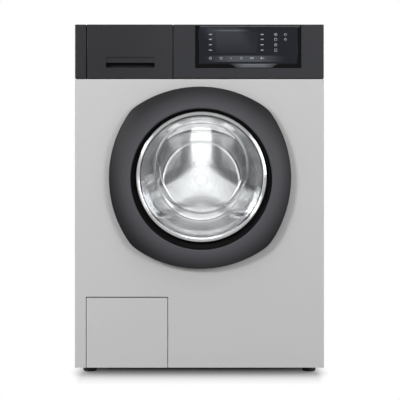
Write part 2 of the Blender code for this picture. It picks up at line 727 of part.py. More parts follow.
def front_panel():
    """Painted sheet with folded edges, the round port, the flap opening and the latch slot."""
    back = FRONT_Y + FRONT_RETURN
    panel = box("front_panel", (-HALF_WIDTH, FRONT_Y, FLOOR_CLEARANCE), (HALF_WIDTH, back, PANEL_TOP))
    hollow = box("panel hollow", (-HALF_WIDTH + SHEET, FRONT_Y + SHEET, FLOOR_CLEARANCE + SHEET),
                 (HALF_WIDTH - SHEET, back + OVERRUN, PANEL_TOP - SHEET))
    frame = SEAM + SHEET
    surround = box("flap surround", (FLAP_LEFT - frame, FRONT_Y + SHEET / 2, FLOOR_CLEARANCE),
                   (FLAP_RIGHT + frame, back, FLAP_TOP + frame))
    opening = box("flap opening", (FLAP_LEFT - SEAM, FRONT_Y - OVERRUN, FLOOR_CLEARANCE - OVERRUN),
                  (FLAP_RIGHT + SEAM, back + OVERRUN, FLAP_TOP + SEAM))
    port = rod("port", (BOWL_CENTRE_X, FRONT_Y - OVERRUN, BOWL_CENTRE_Z),
               (BOWL_CENTRE_X, FRONT_Y + SHEET + OVERRUN, BOWL_CENTRE_Z), PORT_RADIUS, sides=FINE)
    slot = latch_bay("latch slot", FRONT_Y + SHEET + OVERRUN)
    return paint(cut(join(cut(panel, hollow), surround), opening, port, slot), "silver paint")


def control_fascia():
    """Moulded shell across the top, open behind, with a pocket for the drawer and the display."""
    back = FRONT_Y + FRONT_RETURN
    wall = FASCIA_WALL
    shell = box("control_fascia", (-HALF_WIDTH, FRONT_Y, FASCIA_BOTTOM), (HALF_WIDTH, back, OVERALL_HEIGHT))
    shell = ease(shell, FASCIA_EDGE)
    hollow = box("fascia hollow", (-HALF_WIDTH + wall, FRONT_Y + wall, FASCIA_BOTTOM + wall),
                 (HALF_WIDTH - wall, back + OVERRUN, OVERALL_HEIGHT - wall))
    left = DRAWER_LEFT - SEAM
    right = DRAWER_RIGHT + SEAM
    backing = box("pocket wall", (left - wall, FRONT_Y + wall / 2, FASCIA_BOTTOM + wall / 2),
                  (right + wall, POCKET_FLOOR_Y + wall, OVERALL_HEIGHT - wall / 2))
    pocket = box("pocket", (left, FRONT_Y - OVERRUN, FASCIA_BOTTOM - OVERRUN),
                 (right, POCKET_FLOOR_Y, OVERALL_HEIGHT + OVERRUN))
    gap = BIN_WALL + BIN_RUNNING_GAP
    mouth = box("drawer mouth", (BIN_CENTRE_X - BIN_WIDTH / 2 - gap, FRONT_Y, BIN_BOTTOM - gap),
                (BIN_CENTRE_X + BIN_WIDTH / 2 + gap, back + OVERRUN, BIN_BOTTOM + BIN_HEIGHT + gap))
    window = box("display window", (DISPLAY_LEFT - FIT, FRONT_Y - OVERRUN, DISPLAY_BOTTOM - FIT),
                 (DISPLAY_LEFT + DISPLAY_WIDTH + FIT, back + OVERRUN, OVERALL_HEIGHT - wall))
    return paint(cut(join(cut(shell, hollow), backing), pocket, mouth, window), "anthracite")


def display_frame():
    """Gloss black frame that the touch glass lies in."""
    top = OVERALL_HEIGHT - FASCIA_WALL - FIT
    frame = box("display_frame", (DISPLAY_LEFT, FRONT_Y, DISPLAY_BOTTOM),
                (DISPLAY_LEFT + DISPLAY_WIDTH, FRONT_Y + DISPLAY_DEPTH, top))
    sink = GLASS_SINK + GLASS_THICKNESS
    seat = box("glass seat", (GLASS_LEFT - FIT, FRONT_Y - OVERRUN, GLASS_BOTTOM - FIT),
               (GLASS_LEFT + GLASS_WIDTH + FIT, FRONT_Y + sink + FIT, GLASS_TOP + FIT))
    window = box("frame window", (GLASS_LEFT + BOARD_MARGIN, FRONT_Y, GLASS_BOTTOM + BOARD_MARGIN),
                 (GLASS_LEFT + GLASS_WIDTH - BOARD_MARGIN, FRONT_Y + DISPLAY_DEPTH + OVERRUN,
                  GLASS_TOP - BOARD_MARGIN))
    return paint(cut(frame, seat, window), "black")


def display_glass():
    """Touch glass of the control panel."""
    front = FRONT_Y + GLASS_SINK
    glass = box("display_glass", (GLASS_LEFT, front, GLASS_BOTTOM),
                (GLASS_LEFT + GLASS_WIDTH, front + GLASS_THICKNESS, GLASS_TOP))
    return paint(glass, "panel glass")


def control_board():
    """Circuit board behind the display, with its display module and chips."""
    front = FRONT_Y + DISPLAY_DEPTH + FIT
    back = front + BOARD_THICKNESS
    right = DISPLAY_LEFT + DISPLAY_WIDTH
    board = box("control_board", (DISPLAY_LEFT, front, DISPLAY_BOTTOM),
                (right, back, OVERALL_HEIGHT - FASCIA_WALL - FIT - BOARD_MARGIN))
    chips = []
    base = back - BOARD_THICKNESS / 2
    low = GLASS_BOTTOM + BOARD_MARGIN
    for share in CHIP_SHARES:
        centre = DISPLAY_LEFT + DISPLAY_WIDTH * share
        chips.append(box("chip", (centre - BOARD_MARGIN, base, low),
                         (centre + BOARD_MARGIN, back + BOARD_PARTS_HEIGHT, low + BOARD_MARGIN * 2)))
    return paint(join(board, *chips), "circuit board")


def dispenser_housing():
    """Box that the drawer slides in, open in front, with the outlet to the tub below."""
    gap = BIN_RUNNING_GAP
    wall = HOUSING_WALL
    left = BIN_CENTRE_X - BIN_WIDTH / 2 - gap
    right = BIN_CENTRE_X + BIN_WIDTH / 2 + gap
    low = BIN_BOTTOM - gap
    high = BIN_BOTTOM + BIN_HEIGHT + gap
    back = HOUSING_FRONT_Y + HOUSING_DEPTH
    housing = box("dispenser_housing", (left - wall, HOUSING_FRONT_Y, low - wall),
                  (right + wall, back + wall, high + wall))
    hollow = box("bay", (left, HOUSING_FRONT_Y - OVERRUN, low), (right, back, high))
    outlet = rod("outlet", (BELLOWS_X, BELLOWS_Y, low - wall - SPIGOT_WALL),
                 (BELLOWS_X, BELLOWS_Y, low - wall / 2), BELLOWS_RADIUS)
    drain = rod("outlet bore", (BELLOWS_X, BELLOWS_Y, low - wall - OVERRUN),
                (BELLOWS_X, BELLOWS_Y, low + OVERRUN), BELLOWS_RADIUS - SPIGOT_WALL)
    return paint(cut(join(cut(housing, hollow), outlet), drain), "white plastic")


def drawer_front():
    """Front plate of the drawer, with the recess for the fingers behind its lip."""
    wall = DRAWER_SHELL
    plate = box("drawer_front", (DRAWER_LEFT, FRONT_Y, FASCIA_BOTTOM),
                (DRAWER_RIGHT, FRONT_Y + DRAWER_FRONT_DEPTH, OVERALL_HEIGHT))
    plate = ease(plate, DRAWER_EDGE, 1)
    right = HANDLE_LEFT + HANDLE_WIDTH
    middle = FRONT_Y + DRAWER_FRONT_DEPTH / 2
    pocket = box("handle pocket", (HANDLE_LEFT - wall, middle, HANDLE_BOTTOM - wall),
                 (right + wall, FRONT_Y + HANDLE_DEPTH, HANDLE_TOP + wall))
    recess = box("recess", (HANDLE_LEFT, FRONT_Y - OVERRUN, HANDLE_BOTTOM),
                 (right, FRONT_Y + HANDLE_DEPTH - wall, HANDLE_TOP))
    face = FRONT_Y + HANDLE_LIP_SINK
    lip = box("grip lip", (HANDLE_LEFT - wall / 2, face, HANDLE_TOP - HANDLE_LIP_HEIGHT),
              (right + wall / 2, face + HANDLE_LIP_THICKNESS, HANDLE_TOP + wall / 2))
    return paint(join(cut(join(plate, pocket), recess), lip), "anthracite")


def drawer_tray():
    """Detergent drawer with its three chambers."""
    left = BIN_CENTRE_X - BIN_WIDTH / 2
    right = BIN_CENTRE_X + BIN_WIDTH / 2
    front = FRONT_Y + HANDLE_DEPTH + FIT
    back = front + BIN_DEPTH
    tray = box("drawer_tray", (left, front, BIN_BOTTOM), (right, back, BIN_BOTTOM + BIN_HEIGHT))
    wall = BIN_WALL
    chamber = (BIN_WIDTH - wall * 4) / 3
    rooms = []
    for i in range(3):
        start = left + wall + i * (chamber + wall)
        floor = BIN_BOTTOM + wall + (BIN_HEIGHT / 4 if i == 1 else 0)
        rooms.append(box("chamber", (start, front + wall, floor),
                         (start + chamber, back - wall, BIN_BOTTOM + BIN_HEIGHT + OVERRUN)))
    return paint(cut(tray, *rooms), "grey plastic")


def service_flap():
    """Painted flap with folded lips and its two hinge pins."""
    back = FRONT_Y + FLAP_SHEET
    flap = box("service_flap", (FLAP_LEFT, FRONT_Y, FLOOR_CLEARANCE), (FLAP_RIGHT, back, FLAP_TOP))
    lips = []
    for side in (FLAP_LEFT, FLAP_RIGHT - FLAP_SHEET):
        lips.append(box("lip", (side, back - FLAP_SHEET / 2, FLAP_AXIS_Z),
                        (side + FLAP_SHEET, FRONT_Y + FLAP_LIP, FLAP_TOP - FLAP_LIP)))
    reach = SEAM - FIT
    for end, inner in ((FLAP_LEFT - reach, FLAP_LEFT + FLAP_PIN_LENGTH),
                       (FLAP_RIGHT + reach, FLAP_RIGHT - FLAP_PIN_LENGTH)):
        lips.append(rod("pin", (end, FLAP_AXIS_Y, FLAP_AXIS_Z), (inner, FLAP_AXIS_Y, FLAP_AXIS_Z),
                        FLAP_PIN_RADIUS, sides=TINY))
    half = FLAP_PIN_RADIUS / 2
    bar = box("hinge bar", (FLAP_LEFT + FLAP_PIN_LENGTH / 2, back - FLAP_SHEET / 2, FLAP_AXIS_Z - half),
              (FLAP_RIGHT - FLAP_PIN_LENGTH / 2, FLAP_AXIS_Y + half, FLAP_AXIS_Z + half))
    return paint(join(flap, *lips, bar), "silver paint")


def filter_cap():
    """Round cap of the pump filter, with its grip bar and plug."""
    back = PUMP_FRONT_Y - FIT
    front = back - CAP_THICKNESS
    plug = CAP_PLUG_RADIUS
    profile = [(0, front), (CAP_RADIUS, front), (CAP_RADIUS, back), (plug, back),
               (plug, back + CAP_PLUG_LENGTH), (0, back + CAP_PLUG_LENGTH)]
    cap = turned("filter_cap", profile, (FILTER_X, 0, FILTER_Z), ring=False, steps=MEDIUM)
    grip = box("grip", (FILTER_X - CAP_GRIP_WIDTH / 2, front - CAP_GRIP_DEPTH, FILTER_Z - CAP_PLUG_RADIUS),
               (FILTER_X + CAP_GRIP_WIDTH / 2, front + CAP_THICKNESS / 2, FILTER_Z + CAP_PLUG_RADIUS))
    return paint(join(cap, grip), "black")


def latch_bay(name, back):
    """The space that the latch hook passes through, from in front of the panel to back."""
    low = (LATCH_X - LATCH_THICKNESS / 2 - LATCH_PLAY, FRONT_Y - OVERRUN,
           AXIS_Z - LATCH_HEIGHT / 2 - LATCH_PLAY)
    high = (LATCH_X + LATCH_THICKNESS / 2 + LATCH_NOSE + LATCH_PLAY, back,
            AXIS_Z + LATCH_HEIGHT / 2 + LATCH_PLAY)
    return box(name, low, high)


def ring_outline(angle, inset=0.0):
    """Distance from the ring's centre to its edge: four bowed sides with eased corners."""
    shift = RING_SIDE_ARC - RING_HALF
    sides = []
    for i in range(4):
        turn = angle - i * pi / 2
        sides.append(sqrt(RING_SIDE_ARC ** 2 - (shift * sin(turn)) ** 2) - shift * cos(turn))
    nearest = min(sides)
    eased = nearest - RING_CORNER * log(sum(exp((nearest - side) / RING_CORNER) for side in sides))
    return eased - inset


def ring_point(angle, share, y, inset):
    """A point between the ring's outer edge, share 0, and its bore, share 1."""
    edge = ring_outline(angle, inset)
    bore = BORE_RADIUS + inset
    x = (1 - share) * edge * cos(angle) + share * (BORE_SHIFT_X + bore * cos(angle))
    z = (1 - share) * edge * sin(angle) + share * (BORE_SHIFT_Z + bore * sin(angle))
    return (DOOR_CENTRE_X + x, y, DOOR_CENTRE_Z + z)


def ring_section():
    """Share, place along Y and inset of the points round the ring's hollow section."""
    front = FRONT_Y - DOOR_PROUD
    dome = [(share, RING_WALL_Y - RING_DOME * sin(share * pi / 2)) for share in DOME_SHARES]
    outside = [(0, RING_BACK_Y), (0, RING_WALL_Y)] + dome
    outside += [(DOME_FRONT_SHARE, front), (1, front + BORE_EDGE), (1, PLATE_FRONT_Y - FIT)]
    inside = [(1, PLATE_FRONT_Y - FIT), (1, front + BORE_EDGE + RING_SKIN)]
    inside += [(share, y + RING_SKIN) for share, y in reversed(dome[1:])]
    inside += [(0, RING_WALL_Y + RING_SKIN), (0, RING_BACK_Y)]
    return [(share, y, 0) for share, y in outside] + [(share, y, RING_SKIN) for share, y in inside]


def door_ring():
    """Domed ring: a hollow section swept from the bowed outline to the round bore."""
    section = ring_section()
    bm = bmesh.new()
    rows = []
    for i in range(RING_SIDES):
        angle = 2 * pi * i / RING_SIDES
        rows.append([bm.verts.new(ring_point(angle, share, y, inset)) for share, y, inset in section])
    for row, following in zip(rows, rows[1:] + rows[:1]):
        for j in range(len(section)):
            k = (j + 1) % len(section)
            bm.faces.new((row[j], row[k], following[k], following[j]))
    bmesh.ops.recalc_face_normals(bm, faces=bm.faces)
    return paint(settle(add_mesh("door_ring", bm)), "anthracite")


def door_inner_frame():
    """Plate that closes the back of the ring and carries the two hinge lugs."""
    inset = RING_SKIN + FIT
    edge = [ring_point(2 * pi * i / RING_SIDES, 0, 0, inset) for i in range(RING_SIDES)]
    hole = circle((BOWL_CENTRE_X, BOWL_CENTRE_Z), BOWL_RADIUS + FIT, FINE)
    plate = slab("door_inner_frame", [[(x, z) for x, y, z in edge], hole], PLATE_FRONT_Y, RING_BACK_Y)
    start = KNUCKLE_HALF + FIT
    lugs = []
    for side in (-1, 1):
        near = DOOR_CENTRE_Z + side * start
        far = DOOR_CENTRE_Z + side * (start + LUG_LENGTH)
        lugs.append(rod("lug", (DOOR_AXIS_X, DOOR_AXIS_Y, near), (DOOR_AXIS_X, DOOR_AXIS_Y, far),
                        KNUCKLE_RADIUS))
        lugs.append(box("web", (DOOR_AXIS_X, DOOR_AXIS_Y, min(near, far)),
                        (DOOR_AXIS_X + KNUCKLE_RADIUS * 2, RING_BACK_Y - FRAME_PLATE / 2, max(near, far))))
    margin = HINGE_WINDOW_MARGIN
    window = box("hinge window", (DOOR_AXIS_X - KNUCKLE_RADIUS - FIT, PLATE_FRONT_Y - OVERRUN,
                                  DOOR_CENTRE_Z - start),
                 (DOOR_AXIS_X + HINGE_REACH + margin, RING_BACK_Y + OVERRUN, DOOR_CENTRE_Z + start))
    pin = hinge_pin_rod("pin hole", HINGE_PIN_RADIUS + FIT, OVERRUN)
    return paint(cut(join(plate, *lugs), window, pin), "black")


def hinge_pin_rod(name, radius, extra):
    """A rod on the door's axis, longer than the knuckles by extra at each end."""
    half = KNUCKLE_HALF + FIT + LUG_LENGTH + extra
    return rod(name, (DOOR_AXIS_X, DOOR_AXIS_Y, DOOR_CENTRE_Z - half),
               (DOOR_AXIS_X, DOOR_AXIS_Y, DOOR_CENTRE_Z + half), radius, sides=TINY)


def door_hinge():
    """Fixed hinge: foot on the panel, arm, knuckle and pin."""
    low = DOOR_CENTRE_Z - KNUCKLE_HALF
    high = DOOR_CENTRE_Z + KNUCKLE_HALF
    reach = DOOR_AXIS_X + HINGE_REACH
    knuckle = rod("door_hinge", (DOOR_AXIS_X, DOOR_AXIS_Y, low), (DOOR_AXIS_X, DOOR_AXIS_Y, high),
                  KNUCKLE_RADIUS)
    arm = box("arm", (DOOR_AXIS_X, DOOR_AXIS_Y - HINGE_ARM / 2, low),
              (reach + HINGE_ARM / 2, DOOR_AXIS_Y + HINGE_ARM / 2, high))
    leg = box("leg", (reach - HINGE_ARM / 2, DOOR_AXIS_Y - HINGE_ARM / 2, low),
              (reach + HINGE_ARM / 2, FRONT_Y - FIT, high))
    foot = box("foot", (reach - HINGE_ARM / 2, FRONT_Y - FIT - HINGE_FOOT_THICKNESS, low),
               (reach + HINGE_FOOT_WIDTH, FRONT_Y - FIT, high))
    pin = hinge_pin_rod("pin", HINGE_PIN_RADIUS, FIT)
    return paint(join(knuckle, arm, leg, foot, pin), "steel")


def door_glass():
    """Glass bowl with a flat rim. Its deep end lies higher than its rim."""
    rim_back = PLATE_FRONT_Y - FIT
    rim_front = rim_back - BOWL_RIM_THICKNESS
    tip = rim_back + BOWL_DEPTH
    rim = BOWL_RADIUS + BOWL_RIM_WIDTH
    inner_corner = BOWL_CORNER - BOWL_GLASS
    outside = arc((BOWL_TIP_RADIUS - BOWL_CORNER, tip - BOWL_CORNER), BOWL_CORNER, 90, 0, 3)
    inside = arc((BOWL_TIP_RADIUS - BOWL_CORNER, tip - BOWL_CORNER), inner_corner, 0, 90, 3)
    profile = [(0, tip)] + outside + [(BOWL_RADIUS, rim_back), (rim, rim_back), (rim, rim_front),
                                      (BOWL_RADIUS - BOWL_GLASS, rim_front)] + inside
    profile += [(0, tip - BOWL_GLASS)]
    bowl = turned("door_glass", profile, (BOWL_CENTRE_X, 0, BOWL_CENTRE_Z), ring=False, steps=FINE)
    for vertex in bowl.data.vertices:
        vertex.co.z += BOWL_RISE / BOWL_DEPTH * max(0, vertex.co.y - rim_back)
    return paint(bowl, "clear glass")


def door_bezel():
    """Bright ring that holds the rim of the bowl."""
    seat = PLATE_FRONT_Y - FIT
    back = seat - BOWL_RIM_THICKNESS - FIT
    front = back - BEZEL_THICKNESS
    inner = BEZEL_RADIUS - BEZEL_WIDTH
    skirt = BEZEL_RADIUS - BEZEL_SKIRT
    edge = BEZEL_THICKNESS / 2
    profile = [(inner, back), (inner, back - edge), (inner + edge, front), (BEZEL_RADIUS - edge, front),
               (BEZEL_RADIUS, front + edge), (BEZEL_RADIUS, seat), (skirt, seat), (skirt, back)]
    return paint(turned("door_bezel", profile, (BOWL_CENTRE_X, 0, BOWL_CENTRE_Z), steps=FINE), "chrome")


def latch_hook():
    """Hook on the free side of the door."""
    seat = RING_BACK_Y + FIT
    half = LATCH_THICKNESS / 2
    low = AXIS_Z - LATCH_HEIGHT / 2
    high = AXIS_Z + LATCH_HEIGHT / 2
    tip = FRONT_Y + LATCH_REACH
    foot = box("latch_hook", (LATCH_X - LATCH_FOOT / 2, seat, low),
               (LATCH_X + LATCH_FOOT / 2, seat + LATCH_FOOT_THICKNESS, high))
    shank = box("shank", (LATCH_X - half, seat + LATCH_FOOT_THICKNESS / 2, low), (LATCH_X + half, tip, high))
    nose = box("nose", (LATCH_X, tip - LATCH_NOSE, low), (LATCH_X + half + LATCH_NOSE, tip, high))
    return paint(join(foot, shank, nose), "steel")


def door_lock():
    """Lock behind the panel, with the bay that the hook enters."""
    front = FRONT_Y + SHEET + FIT
    lock = box("door_lock", (LATCH_X - LOCK_WIDTH / 2, front, AXIS_Z - LOCK_HEIGHT / 2),
               (LATCH_X + LOCK_WIDTH / 2, front + LOCK_DEPTH, AXIS_Z + LOCK_HEIGHT / 2))
    return paint(cut(lock, latch_bay("lock bay", FRONT_Y + LATCH_REACH + LATCH_PLAY)), "white plastic")


def door_gasket():
    """Rubber bellows from the tub's neck to the port, with the lip that the bowl closes on."""
    lip = GASKET_LIP_RADIUS + GASKET_WALL / 2
    back = NECK_FRONT_Y + TUB_RIB + CLAMP_WIDTH
    front = FRONT_Y + SHEET + FIT + GASKET_WALL / 2
    line = [(lip + (SLEEVE_RADIUS - lip) * radial, back + (front - back) * along)
            for radial, along in GASKET_SHARES]
    gasket = turned("door_gasket", line, AXIS, steps=FINE, ring=False, wall=GASKET_WALL)
    return paint(gasket, "rubber")


def tub_cylinder(name, radius):
    """A cylinder on the drum's axis that runs past the tub at both ends."""
    return rod(name, (AXIS_X, TUB_FRONT_Y - OVERRUN, AXIS_Z), (AXIS_X, TUB_BACK_Y + OVERRUN, AXIS_Z),
               radius, sides=FINE)


def tub_profile():
    """Section of the rear tub: flange, ribbed wall, back and bearing hub."""
    front = TUB_FRONT_Y
    outside = [(TUB_RADIUS, front), (TUB_OUTER + TUB_FLANGE, front),
               (TUB_OUTER + TUB_FLANGE, front + TUB_RIB_WIDTH), (TUB_OUTER, front + TUB_RIB_WIDTH)]
    span = TUB_BACK_Y - front
    for i in range(TUB_RIB_COUNT):
        middle = front + span * (i + 1) / (TUB_RIB_COUNT + 1)
        low = middle - TUB_RIB_WIDTH / 2
        high = middle + TUB_RIB_WIDTH / 2
        outside += [(TUB_OUTER, low), (TUB_CREST, low), (TUB_CREST, high), (TUB_OUTER, high)]
    outside += [(TUB_OUTER, TUB_BACK_Y), (HUB_RADIUS, TUB_BACK_Y), (HUB_RADIUS, HUB_BACK_Y)]
    inside = [(BEARING_RADIUS, HUB_BACK_Y), (BEARING_RADIUS, HUB_FRONT_Y), (HUB_RADIUS, HUB_FRONT_Y),
              (HUB_RADIUS, TUB_BACK_Y - TUB_WALL), (TUB_RADIUS, TUB_BACK_Y - TUB_WALL)]
    return outside + inside


def tub_fixtures(side):
    """The ears that the spring and the damper of one side meet."""
    spring_seat = SPRING_TOP - SPRING_LENGTH - FIT
    root = AXIS_Z + DRUM_RADIUS / 4
    ear = box("spring ear", (side * SPRING_X - EAR_THICKNESS, SPRING_Y - EAR_WIDTH / 2, root),
              (side * SPRING_X + EAR_THICKNESS, SPRING_Y + EAR_WIDTH / 2, spring_seat))
    lug = box("damper lug", (side * DAMPER_X - DAMPER_RADIUS, DAMPER_Y - DAMPER_RADIUS, DAMPER_ROD_TOP + FIT),
              (side * DAMPER_X + DAMPER_RADIUS, DAMPER_Y + DAMPER_RADIUS, DAMPER_ROD_TOP + DAMPER_FOOT))
    return [ear, lug]


def outer_tub():
    """Rear tub with ribs, bearing hub, sump, spigots and the ears of the suspension."""
    tub = turned("outer_tub", tub_profile(), AXIS, steps=FINE)
    ribs = []
    for i in range(TUB_BACK_RIB_COUNT):
        angle = 2 * pi * (i + 0.5) / TUB_BACK_RIB_COUNT
        rib = box("back rib", (HUB_RADIUS - TUB_WALL, TUB_BACK_Y - TUB_WALL / 2, -TUB_RIB_WIDTH / 2),
                  (TUB_RADIUS, TUB_BACK_Y + TUB_RIB * 2, TUB_RIB_WIDTH / 2))
        rib.data.transform(Matrix.Translation(AXIS) @ Matrix.Rotation(angle, 4, "Y"))
        ribs.append(rib)
    wall = TUB_WALL
    floor = AXIS_Z - TUB_RADIUS
    sump = box("sump", (AXIS_X - SUMP_HALF_WIDTH, SUMP_FRONT_Y, SUMP_BOTTOM),
               (AXIS_X + SUMP_HALF_WIDTH, SUMP_BACK_Y, floor + TUB_WALL))
    drain_x = AXIS_X - SUMP_HALF_WIDTH + SPIGOT_RADIUS + wall
    drain_y = SUMP_FRONT_Y + SPIGOT_RADIUS + wall
    drain = rod("drain spigot", (drain_x, drain_y, SUMP_BOTTOM - SPIGOT_LENGTH),
                (drain_x, drain_y, SUMP_BOTTOM + wall / 2), SPIGOT_RADIUS - SPIGOT_WALL / 2)
    filler_top = filler_height()
    filler = rod("filler spigot", (BELLOWS_X, BELLOWS_Y, AXIS_Z + TUB_RADIUS / 2),
                 (BELLOWS_X, BELLOWS_Y, filler_top), BELLOWS_RADIUS)
    ears = tub_fixtures(-1) + tub_fixtures(1)
    solid = join(tub, *ribs, sump, drain, filler, *ears)
    inner = SUMP_HALF_WIDTH - wall
    pit = box("sump hollow", (AXIS_X - inner, SUMP_FRONT_Y + wall, SUMP_BOTTOM + wall),
              (AXIS_X + inner, SUMP_BACK_Y - wall, AXIS_Z - DRUM_RADIUS + wall))
    drain_bore = rod("drain bore", (drain_x, drain_y, SUMP_BOTTOM - SPIGOT_LENGTH - OVERRUN),
                     (drain_x, drain_y, SUMP_BOTTOM + wall + OVERRUN), SPIGOT_RADIUS - SPIGOT_WALL * 2)
    filler_bore = rod("filler bore", (BELLOWS_X, BELLOWS_Y, AXIS_Z + TUB_RADIUS / 2),
                      (BELLOWS_X, BELLOWS_Y, filler_top + OVERRUN), BELLOWS_RADIUS - SPIGOT_WALL)
    heater_holes = [rod("heater hole", (x, SUMP_BACK_Y - wall - OVERRUN, HEATER_Z),
                        (x, SUMP_BACK_Y + OVERRUN, HEATER_Z), HEATER_ROD + FIT) for x in heater_sides()]
    hollow = tub_hollow()
    return paint(cut(solid, hollow, pit, drain_bore, filler_bore, *heater_holes), "grey plastic")


def tub_hollow():
    """The inside of the tub, which trims what was fused to its wall."""
    back = TUB_BACK_Y - TUB_WALL
    profile = [(0, TUB_FRONT_Y - OVERRUN), (TUB_RADIUS, TUB_FRONT_Y - OVERRUN), (TUB_RADIUS, back),
               (HUB_RADIUS, back), (HUB_RADIUS, HUB_FRONT_Y), (BEARING_RADIUS, HUB_FRONT_Y),
               (0, HUB_FRONT_Y)]
    return turned("tub hollow", profile, AXIS, ring=False, steps=FINE)


def filler_height():
    """Top of the spigot that the dispenser's bellows meets."""
    offset = BELLOWS_X + BELLOWS_RADIUS - AXIS_X
    return AXIS_Z + sqrt(TUB_CREST ** 2 - offset ** 2) + SPIGOT_WALL * 2


def heater_sides():
    """Where the two legs of the heater run."""
    return (AXIS_X - HEATER_SPREAD, AXIS_X + HEATER_SPREAD)


def tub_front():
    """Front half of the tub with the neck that carries the bellows."""
    wall = TUB_WALL
    seat = TUB_FRONT_Y - FIT
    rim = TUB_OUTER + TUB_FLANGE
    turn = TUB_OUTER - TUB_RIB * 2
    profile = [(TUB_RADIUS, seat), (rim, seat), (rim, seat - wall), (TUB_OUTER - wall, seat - wall),
               (turn, TUB_FACE_Y), (NECK_OUTER, TUB_FACE_Y), (NECK_OUTER, NECK_FRONT_Y),
               (NECK_RADIUS, NECK_FRONT_Y), (NECK_RADIUS, TUB_FACE_Y + wall),
               (turn - wall, TUB_FACE_Y + wall)]
    return paint(turned("tub_front", profile, AXIS, steps=FINE), "grey plastic")


def front_counterweight():
    """Concrete ring round the neck, open at the foot."""
    back = TUB_FACE_Y - FIT
    front = back - WEIGHT_THICKNESS
    edge = WEIGHT_THICKNESS / 4
    profile = [(WEIGHT_INNER, front), (WEIGHT_OUTER - edge, front), (WEIGHT_OUTER, front + edge),
               (WEIGHT_OUTER, back), (WEIGHT_INNER, back)]
    ring = turned("front_counterweight", profile, AXIS)
    gap = box("foot gap", (AXIS_X - SUMP_HALF_WIDTH, front - OVERRUN, AXIS_Z - TUB_OUTER),
              (AXIS_X + SUMP_HALF_WIDTH, back + OVERRUN, AXIS_Z))
    return paint(cut(ring, gap), "concrete")


def top_counterweight():
    """Concrete block that lies on the tub's ribs."""
    block = box("top_counterweight", (TOP_WEIGHT_LEFT, TOP_WEIGHT_FRONT_Y, TOP_WEIGHT_BOTTOM),
                (TOP_WEIGHT_LEFT + TOP_WEIGHT_WIDTH, TOP_WEIGHT_BACK_Y, TOP_WEIGHT_TOP))
    block = ease(block, WEIGHT_THICKNESS / 4, 1)
    return paint(cut(block, tub_cylinder("tub bed", TUB_CREST + FIT)), "concrete")


def bearing(name, back):
    """Ball bearing, as one ring between the hub and the shaft."""
    inner = SHAFT_RADIUS + FIT
    outer = BEARING_RADIUS - FIT
    front = back - BEARING_WIDTH
    profile = [(inner, front), (outer, front), (outer, back), (inner, back)]
    return paint(turned(name, profile, AXIS, steps=MEDIUM), "steel")


def heater():
    """Immersed heating loop with its flange and terminals behind the sump."""
    left, right = heater_sides()
    bend = SUMP_BACK_Y - HEATER_LENGTH + HEATER_SPREAD
    back = SUMP_BACK_Y + FIT + TUB_WALL / 2
    route = [(left, back, HEATER_Z)]
    route += [(x, y, HEATER_Z) for x, y in arc((AXIS_X, bend), HEATER_SPREAD, 180, 360, 10)]
    route += [(right, back, HEATER_Z)]
    loop = tube("heater", route, HEATER_ROD)
    reach = HEATER_SPREAD + HEATER_ROD * 2
    flange = box("heater flange", (AXIS_X - reach, SUMP_BACK_Y + FIT, HEATER_Z - HEATER_ROD * 2),
                 (AXIS_X + reach, SUMP_BACK_Y + FIT + TUB_WALL, HEATER_Z + HEATER_ROD * 2))
    terminals = [rod("terminal", (x, back, HEATER_Z), (x, back + HEATER_ROD * 3, HEATER_Z), HEATER_ROD / 2,
                     sides=TINY) for x in (left, AXIS_X, right)]
    return paint(join(loop, flange, *terminals), "steel")


def motor():
    """Drive motor with the brackets that hang it under the tub and the bore of its shaft."""
    step = MOTOR_RADIUS / 10
    shoulder = MOTOR_RADIUS - step
    bore = MOTOR_SHAFT + FIT
    depth = MOTOR_BACK_Y - MOTOR_SHAFT * 4
    profile = [(0, MOTOR_FRONT_Y), (shoulder, MOTOR_FRONT_Y), (MOTOR_RADIUS, MOTOR_FRONT_Y + step),
               (MOTOR_RADIUS, MOTOR_BACK_Y - step), (shoulder, MOTOR_BACK_Y), (bore, MOTOR_BACK_Y),
               (bore, depth), (0, depth)]
    body = turned("motor", profile, (MOTOR_X, 0, MOTOR_Z), ring=False, steps=MEDIUM)
    lugs = []
    for front in (MOTOR_FRONT_Y + MOTOR_RADIUS / 2, TUB_BACK_Y - MOTOR_RADIUS / 2):
        lugs.append(box("motor lug", (MOTOR_X - MOTOR_RADIUS / 2, front, MOTOR_Z),
                        (MOTOR_X + MOTOR_RADIUS / 2, front + EAR_THICKNESS * 2, AXIS_Z - TUB_RADIUS / 2)))
    bed = tub_cylinder("motor bed", TUB_OUTER + FIT)
    return paint(cut(join(body, *lugs), bed), "steel")


def drum_shell():
    """Perforated drum wall, modelled as a plain sheet tube."""
    inner = DRUM_RADIUS - DRUM_SHEET
    profile = [(inner, DRUM_FRONT_Y), (DRUM_RADIUS, DRUM_FRONT_Y), (DRUM_RADIUS, DRUM_BACK_Y),
               (inner, DRUM_BACK_Y)]
    return paint(turned("drum_shell", profile, AXIS, steps=FINE), "stainless")


def drum_front():
    """Front ring of the drum with its rolled mouth."""
    y = DRUM_FRONT_Y + DRUM_SHEET
    mouth = DRUM_MOUTH_RADIUS + DRUM_SHEET / 2
    line = [(HEM_RADIUS, y + DRUM_HEM), (HEM_RADIUS, y + DRUM_SHEET * 2), (HEM_RADIUS - DRUM_SHEET * 2, y),
            (mouth + DRUM_LIP, y)]
    line += [(mouth + DRUM_LIP + u, y - DRUM_LIP + v) for u, v in arc((0, 0), DRUM_LIP, 90, 180, 3)[1:]]
    return paint(turned("drum_front", line, AXIS, ring=False, steps=FINE, wall=DRUM_SHEET), "stainless")


